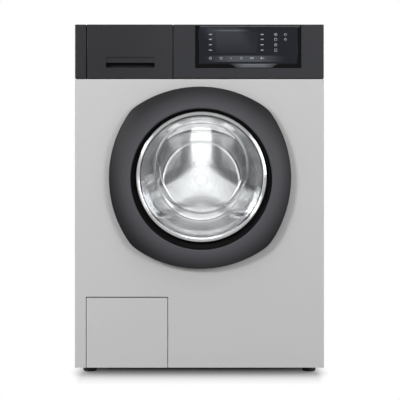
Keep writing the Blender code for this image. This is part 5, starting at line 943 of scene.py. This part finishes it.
# %% Cover
COVER_Z, COVER_BACK, COVER_SHEET = 0.440, 0.3053, 0.001
COVER_RADIUS, COVER_RISE, COVER_SLOPE = 0.205, 0.009, (0.172, 0.188)
cover_r = np.linspace(0.0, COVER_RADIUS, 104)
cover_out = COVER_BACK + COVER_SHEET + COVER_RISE * (1 - smooth_step(cover_r, *COVER_SLOPE))
cover_line = np.stack([cover_r, cover_out + 0.0012 * ridge(cover_r, 0.120, 0.004)], axis=1)
cover = turned("rear_cover_pressed", there_and_back(cover_line, cover_line - np.array([0, COVER_SHEET])),
               (0, 0, COVER_Z), "cabinet", closed=False)
finished(cover, zinc, "rear_cover")
print("cover:", len(cover.data.polygons), "faces")

# %% Beads, louvres and screws
BEAD_HALF, BEAD_HEIGHT = 0.009, 0.0020
LOUVRE_LENGTH, LOUVRE_HALF, LOUVRE_HEIGHT, LOUVRE_SKEW = 0.062, 0.0052, 0.0036, -0.8
HEAD_FLAT, WASHER_RADIUS, SCREW_CIRCLE = 0.0040, 0.0064, 0.1965
SCREW_OUT = (0.0046, 0.0046, 0.0040, 0.0012, 0.0012, 0.0008, -0.0003, -0.0003)


def pressed_strip(start, end, half, height, skew=0.0):
    """Rounded strip from start to end (x, z), with its crest moved aside by the skew.

    Its height is height (1 - v^2), times the share of the full width that is left at a rounded end.
    """
    start, end = np.array(start), np.array(end)
    span = np.linalg.norm(end - start)
    way = (end - start) / span
    u = half * np.sin(np.linspace(-np.pi / 2, 0, 9))
    along = np.concatenate([u, np.linspace(0, span, 13)[1:-1], span - u[::-1]])[:, None]
    over = np.maximum(np.maximum(-along, along - span), 0) / half
    width = half * np.sqrt(1 - np.clip(over, 0, 1) ** 2)
    v = np.linspace(-1, 1, 15)[None, :]
    rise = height * (1 - v ** 2) * (1 + skew * v) * width / half
    top, under = [np.stack([start[0] + way[0] * along - way[1] * width * v, REAR + lift,
                            start[1] + way[1] * along + way[0] * width * v], axis=2)
                  for lift in (rise, 0 * rise - 0.0002)]
    return np.concatenate([top, under[:, ::-1]], axis=1)


def joined(name, grids, body, material, smooth=40.0):
    """One mesh from grids of one size, each closed across its columns."""
    grids = np.stack(grids)
    count, rows, columns = grids.shape[:3]
    corners = grid_quads(rows, columns, wrap_columns=True)
    quads = (corners[None] + rows * columns * np.arange(count)[:, None, None]).reshape(-1, 4)
    return finished(add_mesh(name, grids.reshape(-1, 3), quads, body, smooth), material)


def hex_screw(x, y, z, turn):
    """Washer and six-sided head: the head's radius is a / cos(angle from the middle of a flat)."""
    a = np.linspace(0, 2 * np.pi, 36, endpoint=False)
    head = HEAD_FLAT / np.cos(np.abs(np.mod(a + turn, np.pi / 3) - np.pi / 6))
    zero, washer = 0 * a, 0 * a + WASHER_RADIUS
    radius = np.stack([zero, 0.86 * head, head, head, washer - 0.0002, washer, washer, zero])
    out = np.array(SCREW_OUT)[:, None]
    return np.stack([x + radius * np.cos(a), y + out + 0 * radius, z + radius * np.sin(a)], axis=2)


bead_ends = [((side * 0.246, 0.115), (side * 0.246, 0.560)) for side in (-1, 1)]
bead_ends += [((-0.130, z), (0.130, z)) for z in (0.705, 0.745)]
bead_ends += [((-0.080, z), (0.080, z)) for z in (0.130, 0.175)]
beads = [pressed_strip(start, end, BEAD_HALF, BEAD_HEIGHT) for start, end in bead_ends]
joined("rear_beads", beads, "cabinet", rear_paint)
louvres = [pressed_strip((x, z), (x + LOUVRE_LENGTH, z), LOUVRE_HALF, LOUVRE_HEIGHT, LOUVRE_SKEW)
           for x in (-0.205, 0.143) for z in np.arange(0.100, 0.190, 0.0150)]
joined("rear_louvres", louvres, "cabinet", rear_paint)
screws = [hex_screw(x, REAR, z, 7.0 * z + x)
          for x in (-0.287, 0.287) for z in (0.070, 0.310, 0.550, 0.790)]
screws += [hex_screw(SCREW_CIRCLE * math.cos(a), COVER_BACK + COVER_SHEET,
                     COVER_Z + SCREW_CIRCLE * math.sin(a), 3.0 * a)
           for a in np.radians(np.arange(30, 360, 60))]
joined("rear_screws", screws, "cabinet", steel, smooth=25.0)
print("back:", len(beads), "beads,", len(louvres), "louvres,", len(screws), "screws")

# %% [markdown]
# ## The three lifters
# A lifter is a hollow moulded paddle that carries the washing up. Its section is a bell that stands on
# the drum wall, and it rounds off at both ends, so height is one function across times one along.

# %% Lifters
LIFTER_HALF_WIDTH, LIFTER_HALF_LENGTH, LIFTER_HEIGHT = 0.0290, 0.110, 0.0445


def lifter_grid():
    """Bell across, 1 - smooth(|u|), times rounded ends along v; the underside follows the drum wall."""
    u = np.linspace(-1, 1, 41)[None, :]
    v = np.linspace(-1, 1, 61)[:, None]
    ends = np.sqrt(1 - np.clip((np.abs(v) - 0.90) / 0.10, 0, 1) ** 2)
    bell = 1 - smooth_step(np.abs(u), 0.26, 1.0)
    groove = 0.0012 * ridge(u, 0, 0.09) * (np.abs(v) < 0.8)
    x = LIFTER_HALF_WIDTH * u + 0 * v
    y = (DRUM_FRONT + DRUM_BACK) / 2 + LIFTER_HALF_LENGTH * v + 0 * u
    seat = np.sqrt((DRUM_R - SHEET - 0.0006) ** 2 - x ** 2)
    top = -seat + np.clip(LIFTER_HEIGHT * bell * ends - groove * bell, 0.0, None)
    return np.concatenate([np.stack([x, y, top], axis=2), np.stack([x, y, -seat], axis=2)[:, ::-1]], axis=1)


for number, turn in enumerate((0, 120, 240), start=1):
    c, s = math.cos(math.radians(turn)), math.sin(math.radians(turn))
    spin = np.array([[c, 0, s], [0, 1, 0], [-s, 0, c]])
    paddle = skin(f"lifter_{number}", lifter_grid() @ spin.T + BOWL, "drum",
                  wrap_columns=True)
    finished(paddle, grey_plastic, f"drum_lifter_{number}")
    low, high = np.array(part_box(f"drum_lifter_{number}"))
    mine = np.array([v.co for v in paddle.data.vertices])
    off = np.abs(mine.min(0) + mine.max(0) - low - high).max() / 2
    print(paddle.name, "centre off the solid by", off)

# %% [markdown]
# ## Rubber and hoses
# The gasket joins the tub, which bobs on its springs, to the cabinet, which stands still, so it is given
# to neither body. Its section is a smooth curve through the folds. The hoses are round sections carried
# along a smooth path, with the ribs of a corrugated hose as a wave in the radius.

# %% Curves through points and sweeps along them
def smooth_curve(points, count):
    """Catmull-Rom curve: each span is a cubic, and its slope at a point is half its neighbours' chord."""
    points = np.asarray(points, dtype=float)
    padded = np.vstack([2 * points[0] - points[1], points, 2 * points[-1] - points[-2]])
    t = np.linspace(0, 1, count, endpoint=False)[None, :, None]
    before, start, end, after = (padded[i:i + len(points) - 1, None] for i in range(4))
    curve = (2 * start + (end - before) * t + (2 * before - 5 * start + 4 * end - after) * t ** 2
             + (3 * start - before - 3 * end + after) * t ** 3) / 2
    return np.vstack([curve.reshape(-1, points.shape[1]), points[-1:]])


def swept(name, path, aside, radius, body, sides=24):
    """A closed tube: circles of the given radius at each path point, in the plane across the path.

    aside is a direction that the path never runs along; the circle's first axis is aside made square to
    the path, and its second is the cross product of the two. The first and last rings close to points.
    """
    along = np.gradient(path, axis=0)
    along /= np.linalg.norm(along, axis=1)[:, None]
    aside = np.broadcast_to(np.asarray(aside, dtype=float), path.shape)
    first = aside - (aside * along).sum(axis=1)[:, None] * along
    first /= np.linalg.norm(first, axis=1)[:, None]
    second = np.cross(along, first)
    path, first, second = (np.vstack([rows[:1], rows, rows[-1:]])[:, None]
                           for rows in (path, first, second))
    radius = np.pad(np.broadcast_to(radius, len(path) - 2), 1)[:, None, None]
    a = np.linspace(0, 2 * np.pi, sides, endpoint=False)[None, :, None]
    grid = path + radius * (np.cos(a) * first + np.sin(a) * second)
    return skin(name, grid, body, wrap_columns=True, smooth=50.0)


def run(path):
    """Distance along a path at each of its points."""
    return np.concatenate([[0], np.cumsum(np.linalg.norm(np.diff(path, axis=0), axis=1))])


def ribbed(path, radius, rib, pitch):
    """Radius of a corrugated hose: radius + rib x cos(2 pi x distance / pitch)."""
    return radius + rib * np.cos(run(path) * 2 * np.pi / pitch)


print("curve helpers ready")

# %% Gasket
LIP_RADIUS, SLEEVE_RADIUS, GASKET_BACK, GASKET_FRONT = 0.1575, 0.1763, -0.240, -0.2927
HALF_RUBBER = 0.0009
FOLD_SHARES = np.array([(1, 0), (1, 0.26), (0.34, 0.34), (0.90, 0.47), (0.92, 0.56), (0.22, 0.66),
                        (0.78, 0.77), (0.04, 0.86), (0, 0.94), (0.86, 1)])
fold_line = np.stack([LIP_RADIUS + (SLEEVE_RADIUS - LIP_RADIUS) * FOLD_SHARES[:, 0],
                      GASKET_BACK + (GASKET_FRONT - GASKET_BACK) * FOLD_SHARES[:, 1]], axis=1)
middle_line = smooth_curve(fold_line, 7)
middle_line[:, 0] = np.clip(middle_line[:, 0], LIP_RADIUS, SLEEVE_RADIUS)
half_wall = HALF_RUBBER * across(middle_line)
gasket = turned("gasket_folded", there_and_back(middle_line + half_wall, middle_line - half_wall), BOWL,
                None, sides=160, smooth=60.0)
finished(gasket, rubber, "door_gasket")
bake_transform(gasket)
print("gasket:", len(gasket.data.polygons), "faces")

# %% Hoses
FILTER_Z, OUTLET_X, OUTLET_Z = 0.105, -0.215, 0.780
WALL_X, REAR_RUN = -HALF_WIDTH + SHEET + 0.0308, REAR - 0.0495
INLET_Z, INLET_REAR, INLET_SIDE = 0.785, 0.2695, -0.1678
PUMP_HOSE, DRAIN_HOSE = (0.0162, 0.0007, 0.007), (0.0105, 0.0005, 0.006)    # radius, rib and pitch
INLET_HOSE = 0.0069
pump_route = [(-0.1247, -0.213, FILTER_Z), (-0.1087, -0.213, FILTER_Z), (-0.0452, -0.1783, FILTER_Z),
              (-0.0292, -0.125, 0.1279), (-0.0292, -0.109, 0.1577), (-0.0292, -0.109, 0.1737)]
pump_path = smooth_curve(pump_route, 14)
pump_hose = swept("pump_hose_ribbed", pump_path, (0.64, -0.77, 0.0), ribbed(pump_path, *PUMP_HOSE), None)
finished(pump_hose, black_rubber, "pump_hose")
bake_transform(pump_hose)

drain_route = [(-0.2333, -0.150, FILTER_Z), (-0.2443, -0.150, FILTER_Z), (WALL_X, -0.117, FILTER_Z),
               (WALL_X, 0.0, FILTER_Z + 0.011), (WALL_X, REAR_RUN - 0.066, FILTER_Z + 0.022),
               (WALL_X, REAR_RUN, FILTER_Z + 0.066), (WALL_X + 0.0055, REAR_RUN, (FILTER_Z + OUTLET_Z) / 2),
               (OUTLET_X - 0.011, REAR_RUN, OUTLET_Z - 0.110),
               (OUTLET_X, REAR_RUN - 0.011, OUTLET_Z - 0.044), (OUTLET_X, REAR_RUN, OUTLET_Z - 0.0037),
               (OUTLET_X, 0.2767, OUTLET_Z), (OUTLET_X, 0.2877, OUTLET_Z)]
drain_path = smooth_curve(drain_route, 30)
drain_hose = swept("drain_hose_ribbed", drain_path, (0.86, 0.36, -0.36), ribbed(drain_path, *DRAIN_HOSE),
                   "cabinet", sides=20)
finished(drain_hose, rubber, "drain_hose")

inlet_route = [(0.1757, INLET_REAR, INLET_Z), (0.1547, INLET_REAR, INLET_Z), (-0.0628, INLET_REAR, INLET_Z),
               (-0.1468, 0.2275, INLET_Z), (INLET_SIDE, 0.1645, INLET_Z), (INLET_SIDE, -0.0464, INLET_Z),
               (INLET_SIDE, -0.0674, INLET_Z)]
inlet_hose = swept("inlet_hose_smooth", smooth_curve(inlet_route, 10), (0, 0, 1), INLET_HOSE, "cabinet")
finished(inlet_hose, black_rubber, "inlet_hose")
print("hoses:", [round(run(path)[-1], 3) for path in (pump_path, drain_path)], "m long")

# %% [markdown]
# ## Bellows and springs
# The short bellows under the drawer and the two springs also cross from the cabinet to the tub, so they
# too are given to neither body. A spring is a helix whose two ends run in to the axis and straight out.

# %% Bellows
BELLOWS_LOW, BELLOWS_HIGH = (float(corner[2]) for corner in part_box("dispenser_hose"))
BELLOWS_RADIUS, BELLOWS_RIB, BELLOWS_RIBS, BELLOWS_WALL = 0.0196, 0.0018, 4, 0.001
share = np.linspace(0, 1, 65)
bellows_line = np.stack([BELLOWS_RADIUS + BELLOWS_RIB * np.cos(share * BELLOWS_RIBS * 2 * np.pi),
                         BELLOWS_LOW + (BELLOWS_HIGH - BELLOWS_LOW) * share], axis=1)
bellows_profile = there_and_back(bellows_line, bellows_line - np.array([BELLOWS_WALL, 0]))
bellows = turned("dispenser_bellows", bellows_profile, (-0.165, -0.120, 0.0), None, axis="Z",
                 sides=72, smooth=50.0)
finished(bellows, rubber, "dispenser_hose")
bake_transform(bellows)
print("bellows of", BELLOWS_RIBS, "ribs")

# %% Springs
SPRING_LOW, SPRING_HIGH, TAIL, TURNS = 0.66015, 0.7897, 0.016, 6
COIL_RADIUS, WIRE_RADIUS = 0.0094, 0.0016
SPRING_X, SPRING_Y = 0.238, -0.030
turn_share = np.linspace(0, 1, 361)
coil_angle = 2 * np.pi * TURNS * turn_share
reach = COIL_RADIUS * smooth_step(np.minimum(turn_share, 1 - turn_share) * TURNS, 0.0, 0.6)
outward = np.stack([np.cos(coil_angle), np.sin(coil_angle), 0 * coil_angle], axis=1)
coil = reach[:, None] * outward
coil[:, 2] = SPRING_LOW + TAIL + (SPRING_HIGH - SPRING_LOW - 2 * TAIL) * turn_share
tail = np.linspace(0, TAIL, 9)
spring_path = np.vstack([[(0, 0, SPRING_LOW + rise) for rise in tail[:-1]], coil,
                         [(0, 0, SPRING_HIGH - TAIL + rise) for rise in tail[1:]]])
tail_aside = np.tile((1.0, 0, 0), (8, 1))
spring_aside = np.vstack([tail_aside, outward, tail_aside])
for side, sign in (("left", -1), ("right", 1)):
    spring = swept(f"spring_{side}_wound", spring_path + np.array([sign * SPRING_X, SPRING_Y, 0]),
                   spring_aside, WIRE_RADIUS, None, sides=12)
    finished(spring, steel, f"suspension_spring_{side}")
    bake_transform(spring)
print("springs of", TURNS, "turns")

# %% [markdown]
# ## The control panel
# The fascia and the drawer's front are one satin moulding with a grip behind a lip, so their CAD shapes
# stay, with eased edges. The recess behind the grip's lip is painted nearly black, as shade. The touch
# glass lies in a black frame, whose upper strip is painted grey as a highlight of the light from above.
# Behind the glass a display is switched off: its window is a touch paler than the glass round it. The
# paler sweep across it, a band low on the glass and the crest at its top are painted reflections.

# %% Fascia, drawer front and frame
GRIP_LOW, GRIP_HIGH = 0.7440, 0.7580
GRIP_DEPTHS = (FRONT + 0.003, FRONT + 0.005)
STRIP_SIDES, STRIP_FOOT = (0.001, 0.242), (0.8430, 0.8436)


def shaded_grip_recess(tree, x, y, z):
    """1 behind the lip of the drawer's grip, by height and depth, where shade is painted."""
    return calc(tree, "MULTIPLY", inside(tree, z, GRIP_LOW, GRIP_HIGH, 0.0003),
                ramp(tree, y, *GRIP_DEPTHS))


def painted_strip_highlight(tree, x, y, z):
    """1 on the frame above the glass, where a grey highlight is painted."""
    return calc(tree, "MULTIPLY", ramp(tree, z, *STRIP_FOOT), inside(tree, x, *STRIP_SIDES, 0.001))


drawer_plastic = renamed_copy(fascia_plastic, "drawer plastic")
# The recess behind the grip's lip is painted nearly black, as shade.
lay_over(drawer_plastic, (0.002, 0.002, 0.003), shaded_grip_recess)
frame_black = finish("frame black", (0.0018, 0.0018, 0.0020), 0.45, grain=1800.0, bump=0.03, tone=0.05,
                     Specular_IOR_Level=0.08)
# The strip above the glass is painted grey, as a highlight of the light from above.
lay_over(frame_black, (0.075, 0.075, 0.080), painted_strip_highlight)
softened("control_fascia", PANEL_EDGE, "cabinet", fascia_plastic)
softened("drawer_front", 0.0006, "drawer", drawer_plastic)
softened("display_frame", PANEL_EDGE, "cabinet", frame_black)
print("grip:", round((GRIP_HIGH - GRIP_LOW) * 1000), "mm high")

# %% Touch glass
GLASS_TONE, WINDOW_AND_REFLECTION_TONE = (0.0110, 0.0130, 0.0190), (0.115, 0.122, 0.140)
WINDOW_SIDES, WINDOW_HEIGHTS = (0.0407, 0.1383), (0.7814, 0.8320)
SLANT, SWEEP, SWEEP_FADE = 0.55, (0.475, 0.562), (0.770, 0.838)
LOW_REFLECTION_SIDES, LOW_REFLECTION_HEIGHTS = (0.050, 0.170), (0.7600, 0.7745)
CREST_SIDES, CREST_HEIGHTS = (0.040, 0.110), (0.8335, 0.8372)
RISES = (0.06, 0.22, 0.66, 0.60)        # of the window, and of the painted reflections: the sweep, the low band and the crest
glass_low, glass_high = np.array(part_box("display_glass"))


def patch(tree, x, sides, soft_x, z, heights, soft_z):
    """1 in a rectangle of the panel, with soft ends each way."""
    return calc(tree, "MULTIPLY", inside(tree, x, *sides, soft_x), inside(tree, z, *heights, soft_z))


def panel_glass_finish():
    """Dark glass that rises towards a paler tone, by the sum of four masks times their shares: the
    display's window and three painted reflections.

    The sweep is 1 between two slanted lines, x + slant x z = constant, and fades out downwards.
    """
    material, shader = new_material("touch glass", GLASS_TONE, 0.11, Coat_Weight=0.35, Coat_Roughness=0.04)
    tree = material.node_tree
    x, y, z = place(tree)
    slanted = calc(tree, "MULTIPLY_ADD", z, SLANT, x)
    window = patch(tree, x, WINDOW_SIDES, 0.0006, z, WINDOW_HEIGHTS, 0.0006)
    # The sweep, the low band and the crest are painted reflections. The window is the display's own paler
    # tone.
    sweep = calc(tree, "MULTIPLY", inside(tree, slanted, *SWEEP, 0.016), ramp(tree, z, *SWEEP_FADE))
    low_reflection = patch(tree, x, LOW_REFLECTION_SIDES, 0.045, z, LOW_REFLECTION_HEIGHTS, 0.0012)
    crest = patch(tree, x, CREST_SIDES, 0.020, z, CREST_HEIGHTS, 0.0012)
    level = 0.0
    for mask, rise in zip((window, sweep, low_reflection, crest), RISES):
        level = calc(tree, "MULTIPLY_ADD", mask, rise, level)
    tone = blend_colours(tree, calc(tree, "MINIMUM", level, 1.0), GLASS_TONE, WINDOW_AND_REFLECTION_TONE)
    texture = put(tree, "ShaderNodeGroup", node_tree=GRAIN)
    smear = calc(tree, "MULTIPLY_ADD", texture.outputs["Tone"], 0.12, -0.01)
    join_up(tree, (tone, shader.inputs["Base Color"]), (smear, shader.inputs["Roughness"]))
    return material


softened("display_glass", 0.0004, "cabinet", panel_glass_finish())
print("touch glass:", [round(v * 1000) for v in glass_high - glass_low], "mm")

# %% [markdown]
# ## Marks under the glass
# Each key has a plain generic sign: a dash, a ring, a box, a lozenge. All of them are superellipses,
# |x/a|^p + |z/b|^p = 1, where p = 1 is a lozenge, 2 a ring and 6 a box, and the band between one and a
# smaller one of the same kind is a line.

# %% Marks of the keys
BAND_POINTS, PRINT_DEPTH = 32, 0.0001
LEFT_KEYS, RIGHT_KEYS, RING_KEYS, LAST_KEYS = 0.0265, 0.1513, 0.1838, 0.2071
ROWS = (0.8257, 0.8139, 0.8009, 0.7879)
FOOT_ROW = 0.7686


def mark_band(x, z, wide, high, power, inner):
    """Points of a band: a row for the outline and a row for the outline times inner."""
    a = np.linspace(0, 2 * np.pi, BAND_POINTS, endpoint=False)
    u = wide / 2 * np.sign(np.cos(a)) * np.abs(np.cos(a)) ** (2 / power)
    v = high / 2 * np.sign(np.sin(a)) * np.abs(np.sin(a)) ** (2 / power)
    scale = np.array([1.0, inner])[:, None]
    return np.stack([x + scale * u, 0 * scale * u + glass_low[1] - 0.00012, z + scale * v], axis=2)


def thickened(piece, thickness, offset):
    """Gives an open sheet its wall."""
    wall = piece.modifiers.new("depth", "SOLIDIFY")
    wall.thickness = thickness
    wall.offset = offset


marks = [(x, z, 0.0078, 0.0026, 3.0, 0.0) for x in (LEFT_KEYS, RIGHT_KEYS) for z in ROWS]
marks += [(RING_KEYS, ROWS[0], 0.0070, 0.0070, 2.0, 0.72), (RING_KEYS, ROWS[0], 0.0028, 0.0030, 2.0, 0.0),
          (RING_KEYS, ROWS[1], 0.0068, 0.0064, 6.0, 0.70), (RING_KEYS, ROWS[2], 0.0072, 0.0072, 2.0, 0.68),
          (RING_KEYS, ROWS[2], 0.0026, 0.0036, 1.0, 0.0), (RING_KEYS, ROWS[3], 0.0060, 0.0068, 6.0, 0.74),
          (LAST_KEYS, ROWS[0], 0.0078, 0.0066, 1.2, 0.68), (LAST_KEYS, ROWS[1], 0.0070, 0.0070, 1.0, 0.60)]
marks += [(LEFT_KEYS, FOOT_ROW, 0.0062, 0.0066, 2.4, 0.62),
          (0.0523, FOOT_ROW + 0.0018, 0.0082, 0.0013, 4.0, 0.0),
          (0.0523, FOOT_ROW - 0.0020, 0.0064, 0.0013, 4.0, 0.0),
          (0.0764, FOOT_ROW, 0.0030, 0.0032, 1.0, 0.0), (0.1009, FOOT_ROW, 0.0056, 0.0056, 2.0, 0.66),
          (0.1238, FOOT_ROW, 0.0040, 0.0044, 3.0, 0.0), (0.1286, FOOT_ROW, 0.0040, 0.0044, 3.0, 0.0),
          (0.1496, FOOT_ROW, 0.0060, 0.0070, 1.0, 0.0), (0.1548, FOOT_ROW, 0.0040, 0.0030, 1.0, 0.0)]
pale_print = finish("pale print", (0.33, 0.34, 0.38), 0.45, grain=900.0, bump=0.02, tone=0.20,
                    tone_size=90.0)
signs = joined("key_signs", [mark_band(*mark) for mark in marks], "cabinet", pale_print)
thickened(signs, PRINT_DEPTH, offset=-1.0)
print("signs:", len(marks))

# %% [markdown]
# ## The finger scoop
# Below the glass the frame has a shallow scoop for a finger. It tapers towards the bottom, its face is a
# slightly bowed patch, and a grey highlight is painted along its middle, fading into the black frame
# towards both ends.

# %% Scoop
SCOOP_X, SCOOP_TOP, SCOOP_HEIGHT, SCOOP_HALF, SCOOP_TAPER = 0.1320, 0.7549, 0.0092, 0.0570, 0.0140
SCOOP_FACE, SCOOP_BOW, SCOOP_WALL = FRONT - 0.00012, 0.0003, 0.0006
SCOOP_HIGHLIGHT_SPAN = (0.094, 0.170)             # x between which the painted highlight shows


def scoop_grid():
    """Patch: half-width shrinks from top to bottom, and y bows inwards by a parabola across."""
    u = np.linspace(-1, 1, 49)[None, :]
    v = np.linspace(0, 1, 9)[:, None]
    x = SCOOP_X + (SCOOP_HALF - SCOOP_TAPER * v) * u
    z = SCOOP_TOP - SCOOP_HEIGHT * v + 0 * u
    y = SCOOP_FACE - SCOOP_BOW * (1 - u ** 2) * np.sin(np.pi * v)
    return np.stack([x, y, z], axis=2)


def scoop_highlight(tree, x, y, z):
    """1 along the middle of the scoop, where a highlight is painted, and 0 at both ends."""
    return inside(tree, x, *SCOOP_HIGHLIGHT_SPAN, 0.020)


scoop = skin("finger_scoop", scoop_grid(), "cabinet")
thickened(scoop, SCOOP_WALL, offset=0.0)
scoop_plastic = finish("scoop plastic", (0.004, 0.004, 0.0045), 0.35, grain=1500.0, bump=0.05, tone=0.05)
# A grey highlight is painted along the middle of the scoop.
lay_over(scoop_plastic, (0.095, 0.100, 0.115), scoop_highlight)
finished(scoop, scoop_plastic)
print("scoop:", len(scoop.data.polygons), "faces")

# %% [markdown]
# ## Floor, world and lamps
# The machine stands on a white studio floor in even light. The world is plain white to the camera and
# through the glass, and about a third as bright to matt surfaces. To gloss it is a studio: white walls
# with a dark gap in front, where the camera stands, and a dark stretch on either side. Without those
# gaps chrome and steel have nothing to draw their shapes with.

# %% World
AMBIENT, GAP_DARKNESS = 0.36, 0.85
CAMERA_GAP, SIDE_GAP, SIDE_GAP_END = (-0.985, -0.955), (0.62, 0.80), (-0.30, 0.10)
world = bpy.data.worlds.new("studio")
scene.world = world
world.use_nodes = True
sky = world.node_tree
backdrop = sky.nodes["Background"]
rays = put(sky, "ShaderNodeLightPath").outputs
towards = put(sky, "ShaderNodeSeparateXYZ")
join_up(sky, (put(sky, "ShaderNodeTexCoord").outputs["Generated"], towards.inputs[0]))
sideways, forwards = calc(sky, "ABSOLUTE", towards.outputs[0]), towards.outputs[1]
front_dark = ramp(sky, forwards, *CAMERA_GAP, 1.0, 0.0)
side_dark = calc(sky, "MULTIPLY", inside(sky, sideways, *SIDE_GAP, 0.04),
                 ramp(sky, forwards, *SIDE_GAP_END, 1.0, 0.0))
studio = calc(sky, "MULTIPLY_ADD", calc(sky, "MAXIMUM", front_dark, side_dark), -GAP_DARKNESS, 1.0)
unseen = calc(sky, "MULTIPLY_ADD", rays["Is Glossy Ray"], calc(sky, "SUBTRACT", studio, AMBIENT), AMBIENT)
unseen = calc(sky, "MAXIMUM", unseen, rays["Is Transmission Ray"])
strength = calc(sky, "MULTIPLY_ADD", rays["Is Camera Ray"], calc(sky, "SUBTRACT", 1.0, unseen), unseen)
backdrop.inputs["Color"].default_value = (1, 1, 1, 1)
join_up(sky, (strength, backdrop.inputs["Strength"]))
print("world: ambient", AMBIENT)

# %% [markdown]
# ## Lamps
# Two large lamps in front, one above and two behind keep the light even. Small ones inside the drum, in
# front of its back, stand in for the light that polished steel throws about: they give the bright bar
# behind the glass and the sheen on the lower wall.

# %% Lamps
DRUM_LIGHTS = ((0.63, 0.45, 0.10, 0.08), (0.51, 0.50, 0.08, 0.024), (0.38, 0.43, 0.20, 0.08))


def lamp(name, where, aim, size, power):
    """A square area lamp that faces a point."""
    light = bpy.data.lights.new(name, "AREA")
    light.size, light.energy = size, power
    holder = bpy.data.objects.new(name, light)
    holder.location = where
    x, y, z = np.array(aim, dtype=float) - np.array(where, dtype=float)
    holder.rotation_euler = (math.atan2(math.hypot(x, y), -z), 0, math.atan2(-x, y))
    scene.collection.objects.link(holder)


lamp("key", (-1.9, -2.6, 1.6), (0, -0.3, 0.80), 0.7, 46)
lamp("fill", (1.9, -2.9, 1.2), (0, -0.3, 0.60), 1.2, 30)
lamp("top", (0.0, -1.0, 2.7), (0, -0.2, 0.8), 1.4, 18)
lamp("rear left", (-2.1, 2.1, 1.2), (0, 0.1, 0.45), 1.2, 28)
lamp("rear right", (2.1, 2.1, 1.2), (0, 0.1, 0.45), 1.2, 28)
for level, aim, size, power in DRUM_LIGHTS:
    lamp(f"drum light {level:.2f}", (BOWL[0], -0.17, level), (BOWL[0], 0.07, aim), size, power)
lamp("drum floor light", (BOWL[0], -0.08, 0.62), (BOWL[0], -0.079, 0.26), 0.24, 0.10)
print("lamps:", len(bpy.data.lights))

# %% [markdown]
# ## Floor
# The floor shades truly near the machine, so it keeps the shadow, and further off it is plain white to
# the camera. The shaded part ends at the sides of the machine and narrows towards the front.

# %% Floor
FLOOR_HALF = 6.0
FLARE, DEPTH_FADE = 0.25, (0.15, 0.42)
SIDE_FADE, FLARE_FADE = (-0.034, 0.026), (0.028, 0.084)         # from the side of the machine
floor_mesh = bpy.data.meshes.new("floor")
floor_corners = FLOOR_HALF * np.array([(-1, -1, 0), (1, -1, 0), (1, 1, 0), (-1, 1, 0)])
floor_mesh.from_pydata(floor_corners.tolist(), [], [(0, 1, 2, 3)])
floor = bpy.data.objects.new("floor", floor_mesh)
scene.collection.objects.link(floor)
floor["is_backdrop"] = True
floor_paint, floor_shader = new_material("white floor", (0.40, 0.40, 0.40), 0.75)
ground = floor_paint.node_tree
x, y, z = place(ground)
aside, forward = calc(ground, "ABSOLUTE", x), calc(ground, "ABSOLUTE", y)
flared = calc(ground, "MULTIPLY_ADD", forward, FLARE, aside)
far = ramp(ground, forward, *DEPTH_FADE)
for measure, (start, end) in ((aside, SIDE_FADE), (flared, FLARE_FADE)):
    far = calc(ground, "MAXIMUM", far, ramp(ground, measure, HALF_WIDTH + start, HALF_WIDTH + end))
shown = calc(ground, "MULTIPLY", far, put(ground, "ShaderNodeLightPath").outputs["Is Camera Ray"])
lit = put(ground, "ShaderNodeEmission", Strength=1.0)
glow = put(ground, "ShaderNodeMixShader")
join_up(ground, (shown, glow.inputs[0]), (floor_shader.outputs[0], glow.inputs[1]),
        (lit.outputs[0], glow.inputs[2]),
        (glow.outputs[0], ground.nodes["Material Output"].inputs["Surface"]))
floor_mesh.materials.append(floor_paint)
scene.view_settings.view_transform = "Standard"
print("floor ready")

# %% [markdown]
# ## The sizes
# The box round the dressed machine, without the floor, is worked out and printed.

# %% Sizes, and the end
low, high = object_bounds()
print("visual box:", [round(v, 4) for v in (*low, *high)])
